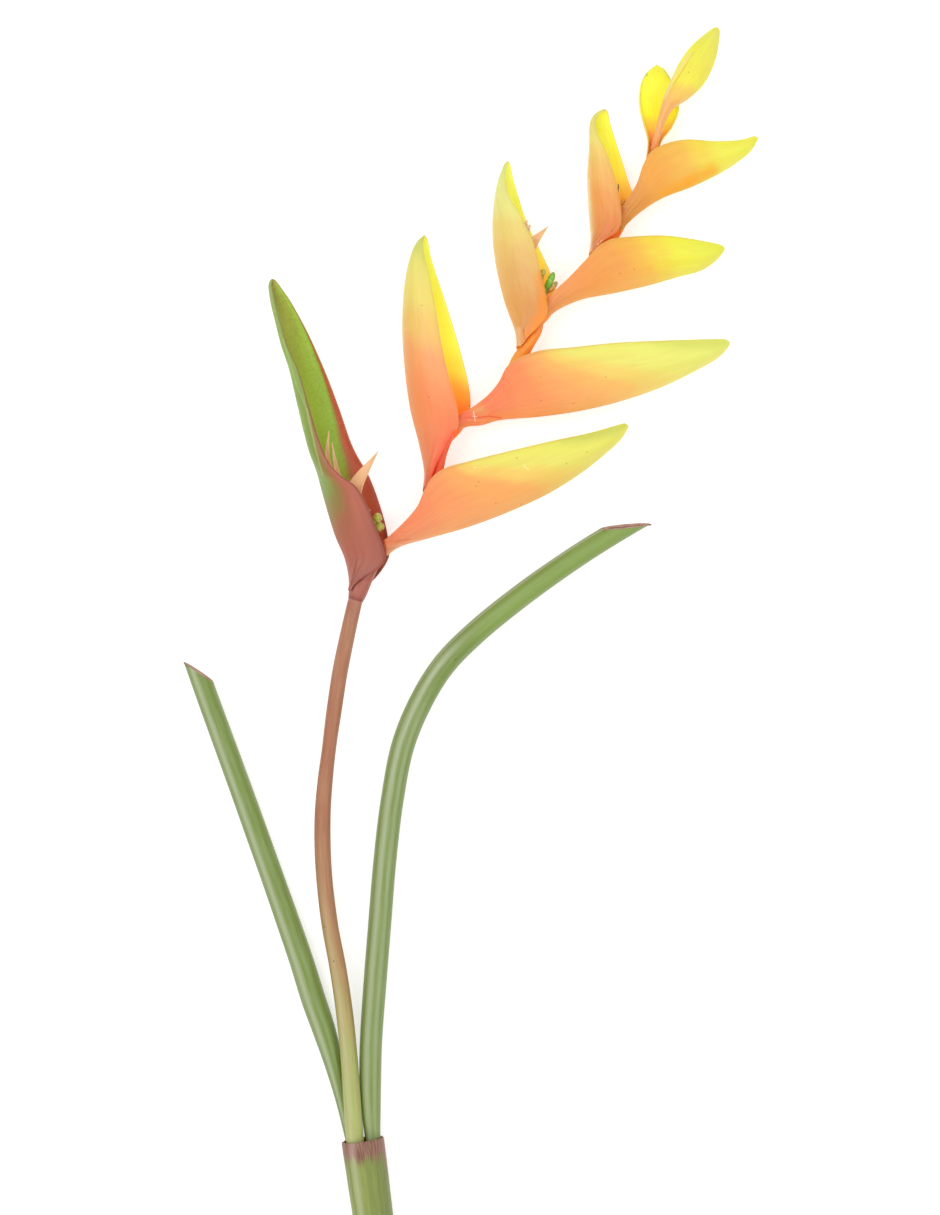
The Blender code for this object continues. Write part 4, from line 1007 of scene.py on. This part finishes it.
for sepals_name, (stands_for, blades) in SEPALS.items():
    bm = bmesh.new()
    bm.loops.layers.uv.new("UVMap")
    for base, bend, tip, half in blades:
        spine = smooth_line([base, bend, tip], SEPAL_ROWS + 1, SEPAL_CLOSING)
        blade = bmesh.ops.create_grid(bm, x_segments=SEPAL_ACROSS, y_segments=SEPAL_ROWS, size=1,
                                      calc_uvs=True)
        for vertex in blade["verts"]:
            row = round((vertex.co.y + 1) / 2 * SEPAL_ROWS)
            t = 1 - (1 - row / SEPAL_ROWS) ** SEPAL_CLOSING
            out = vertex.co.x
            ahead = Vector(spine[min(row + 1, SEPAL_ROWS)] - spine[max(row - 1, 0)])
            side = ahead.cross(UP).normalized()
            wide = half * min(1, 0.5 + t / 0.6) * min(1, (1 - t) / 0.7) ** 0.9
            ribs = SEPAL_RIB * math.cos(out * math.pi * 5) * min(1, (1 - t) * 4)
            low = -wide * 0.5 * (1 - out * out) + ribs
            vertex.co = (Vector(spine[row]) + side * out * wide + Vector((0, 0, low))) * MM
    bmesh.ops.remove_doubles(bm, verts=bm.verts, dist=1e-5)
    sepals = new_object("heliconia_" + sepals_name, bm, sepal_skin)
    wall = sepals.modifiers.new("wall", "SOLIDIFY")
    wall.thickness = SEPAL_WALL * MM
    wall.offset = 0
    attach(sepals, "root")
    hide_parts(stands_for)

# Fruits, a bud and a dried curl: each a bean on a short stalk, (stalk root, middle, length, radius, bend).
BEAN_SIDES, BEAN_ROWS, STALK_SIDES = 24, 20, 16
FRUITS = {
    "basal_fruits": ("basal_flowers", "lime_fruit", [
        ((-7, 480, 17), (3.7, 492.2, 19.2), 6.9, 3.5, 0.3),
        ((-6, 477, 17), (5.2, 485.8, 18.4), 7, 3.4, -0.3)]),
    "middle_fruits": ("middle_flowers", "green_fruit", [
        ((119, 648, 18), (124.4, 658, 20.8), 13.6, 2.6, 0.3)]),
    "middle_seeds": ("middle_flowers", "olive_fruit", [
        ((117.5, 644.5, 16), (126.2, 653.6, 19), 11, 2, 0.3)]),
    "middle_bud": ("middle_flowers", "lime_fruit", [
        ((117, 650, 17), (119.8, 664, 21), 4.8, 2.3, 0)]),
    "upper_fruit": ("upper_flower", "amber_fruit", [
        ((171, 707, 18), (175.4, 713.4, 19.3), 5.4, 1.7, 0.2)]),
    "upper_curl": ("upper_flower", "brown_curl", [
        ((172.2, 719.2, 25), (172.1, 723.4, 25.9), 4.4, 0.6, 0.5)]),
}


def fruit_skin(name, body, dark, pale):
    """Smooth fruit skin: clouded body and dark colours, with a painted highlight where it faces sideways."""
    material, tree, shader, grain, turn, length, place = skin(name, roughness=0.35, count=8, breaks=3)
    cloud = clouds(place, 420, 2)
    tone = mix(spread(cloud, 0.35, 0.65), body, dark)
    facing = node("SeparateXYZ", {0: new_node(tree, "TexCoord").outputs["Normal"]}).outputs[2]
    tone = mix(spread(facing, 0.45, 0.1, 0, 0.8), tone, pale)
    finish_skin(shader, tone, cloud, 0.15)
    return material


fruit_skins = {
    "lime_fruit": fruit_skin("lime_fruit_skin", (206, 200, 90), (180, 180, 70), (222, 218, 128)),
    "green_fruit": fruit_skin("green_fruit_skin", (136, 200, 72), (104, 170, 56), (212, 218, 128)),
    "olive_fruit": fruit_skin("olive_fruit_skin", (214, 190, 108), (160, 146, 80), (236, 214, 136)),
    "amber_fruit": fruit_skin("amber_fruit_skin", (240, 188, 74), (206, 152, 54), (252, 214, 96)),
    "brown_curl": fruit_skin("brown_curl_skin", (158, 112, 44), (120, 80, 34), (196, 150, 64)),
}
for fruits_name, (stands_for, colour_name, beans) in FRUITS.items():
    bm = bmesh.new()
    bm.loops.layers.uv.new("UVMap")
    for root, middle, long, radius, bend in beans:
        root, middle = Vector(root), Vector(middle)
        bean = bmesh.ops.create_uvsphere(bm, u_segments=BEAN_SIDES, v_segments=BEAN_ROWS, radius=1,
                                         calc_uvs=True)["verts"]
        for vertex in bean:
            reach_out = vertex.co.z
            pinch = 1 - 0.12 * math.exp(-(reach_out / 0.25) ** 2)
            vertex.co = Vector((vertex.co.x * radius * pinch + bend * (reach_out ** 2 - 0.4) * radius * 0.6,
                                vertex.co.y * radius * pinch, reach_out * long / 2)) * MM
        aim = (middle - root).to_track_quat("Z", "Y").to_matrix().to_4x4()
        bmesh.ops.transform(bm, matrix=Matrix.Translation(middle * MM) @ aim, verts=bean)
        neck = (middle - root).length - long * 0.4
        stalk = bmesh.ops.create_cone(bm, cap_ends=True, segments=STALK_SIDES, radius1=radius * 0.4 * MM,
                                      radius2=radius * 0.6 * MM, depth=neck * MM, calc_uvs=True)["verts"]
        halfway = root + (middle - root).normalized() * neck / 2
        bmesh.ops.transform(bm, matrix=Matrix.Translation(halfway * MM) @ aim, verts=stalk)
    fruits = new_object("heliconia_" + fruits_name, bm, fruit_skins[colour_name])
    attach(fruits, "root")
    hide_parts(stands_for)
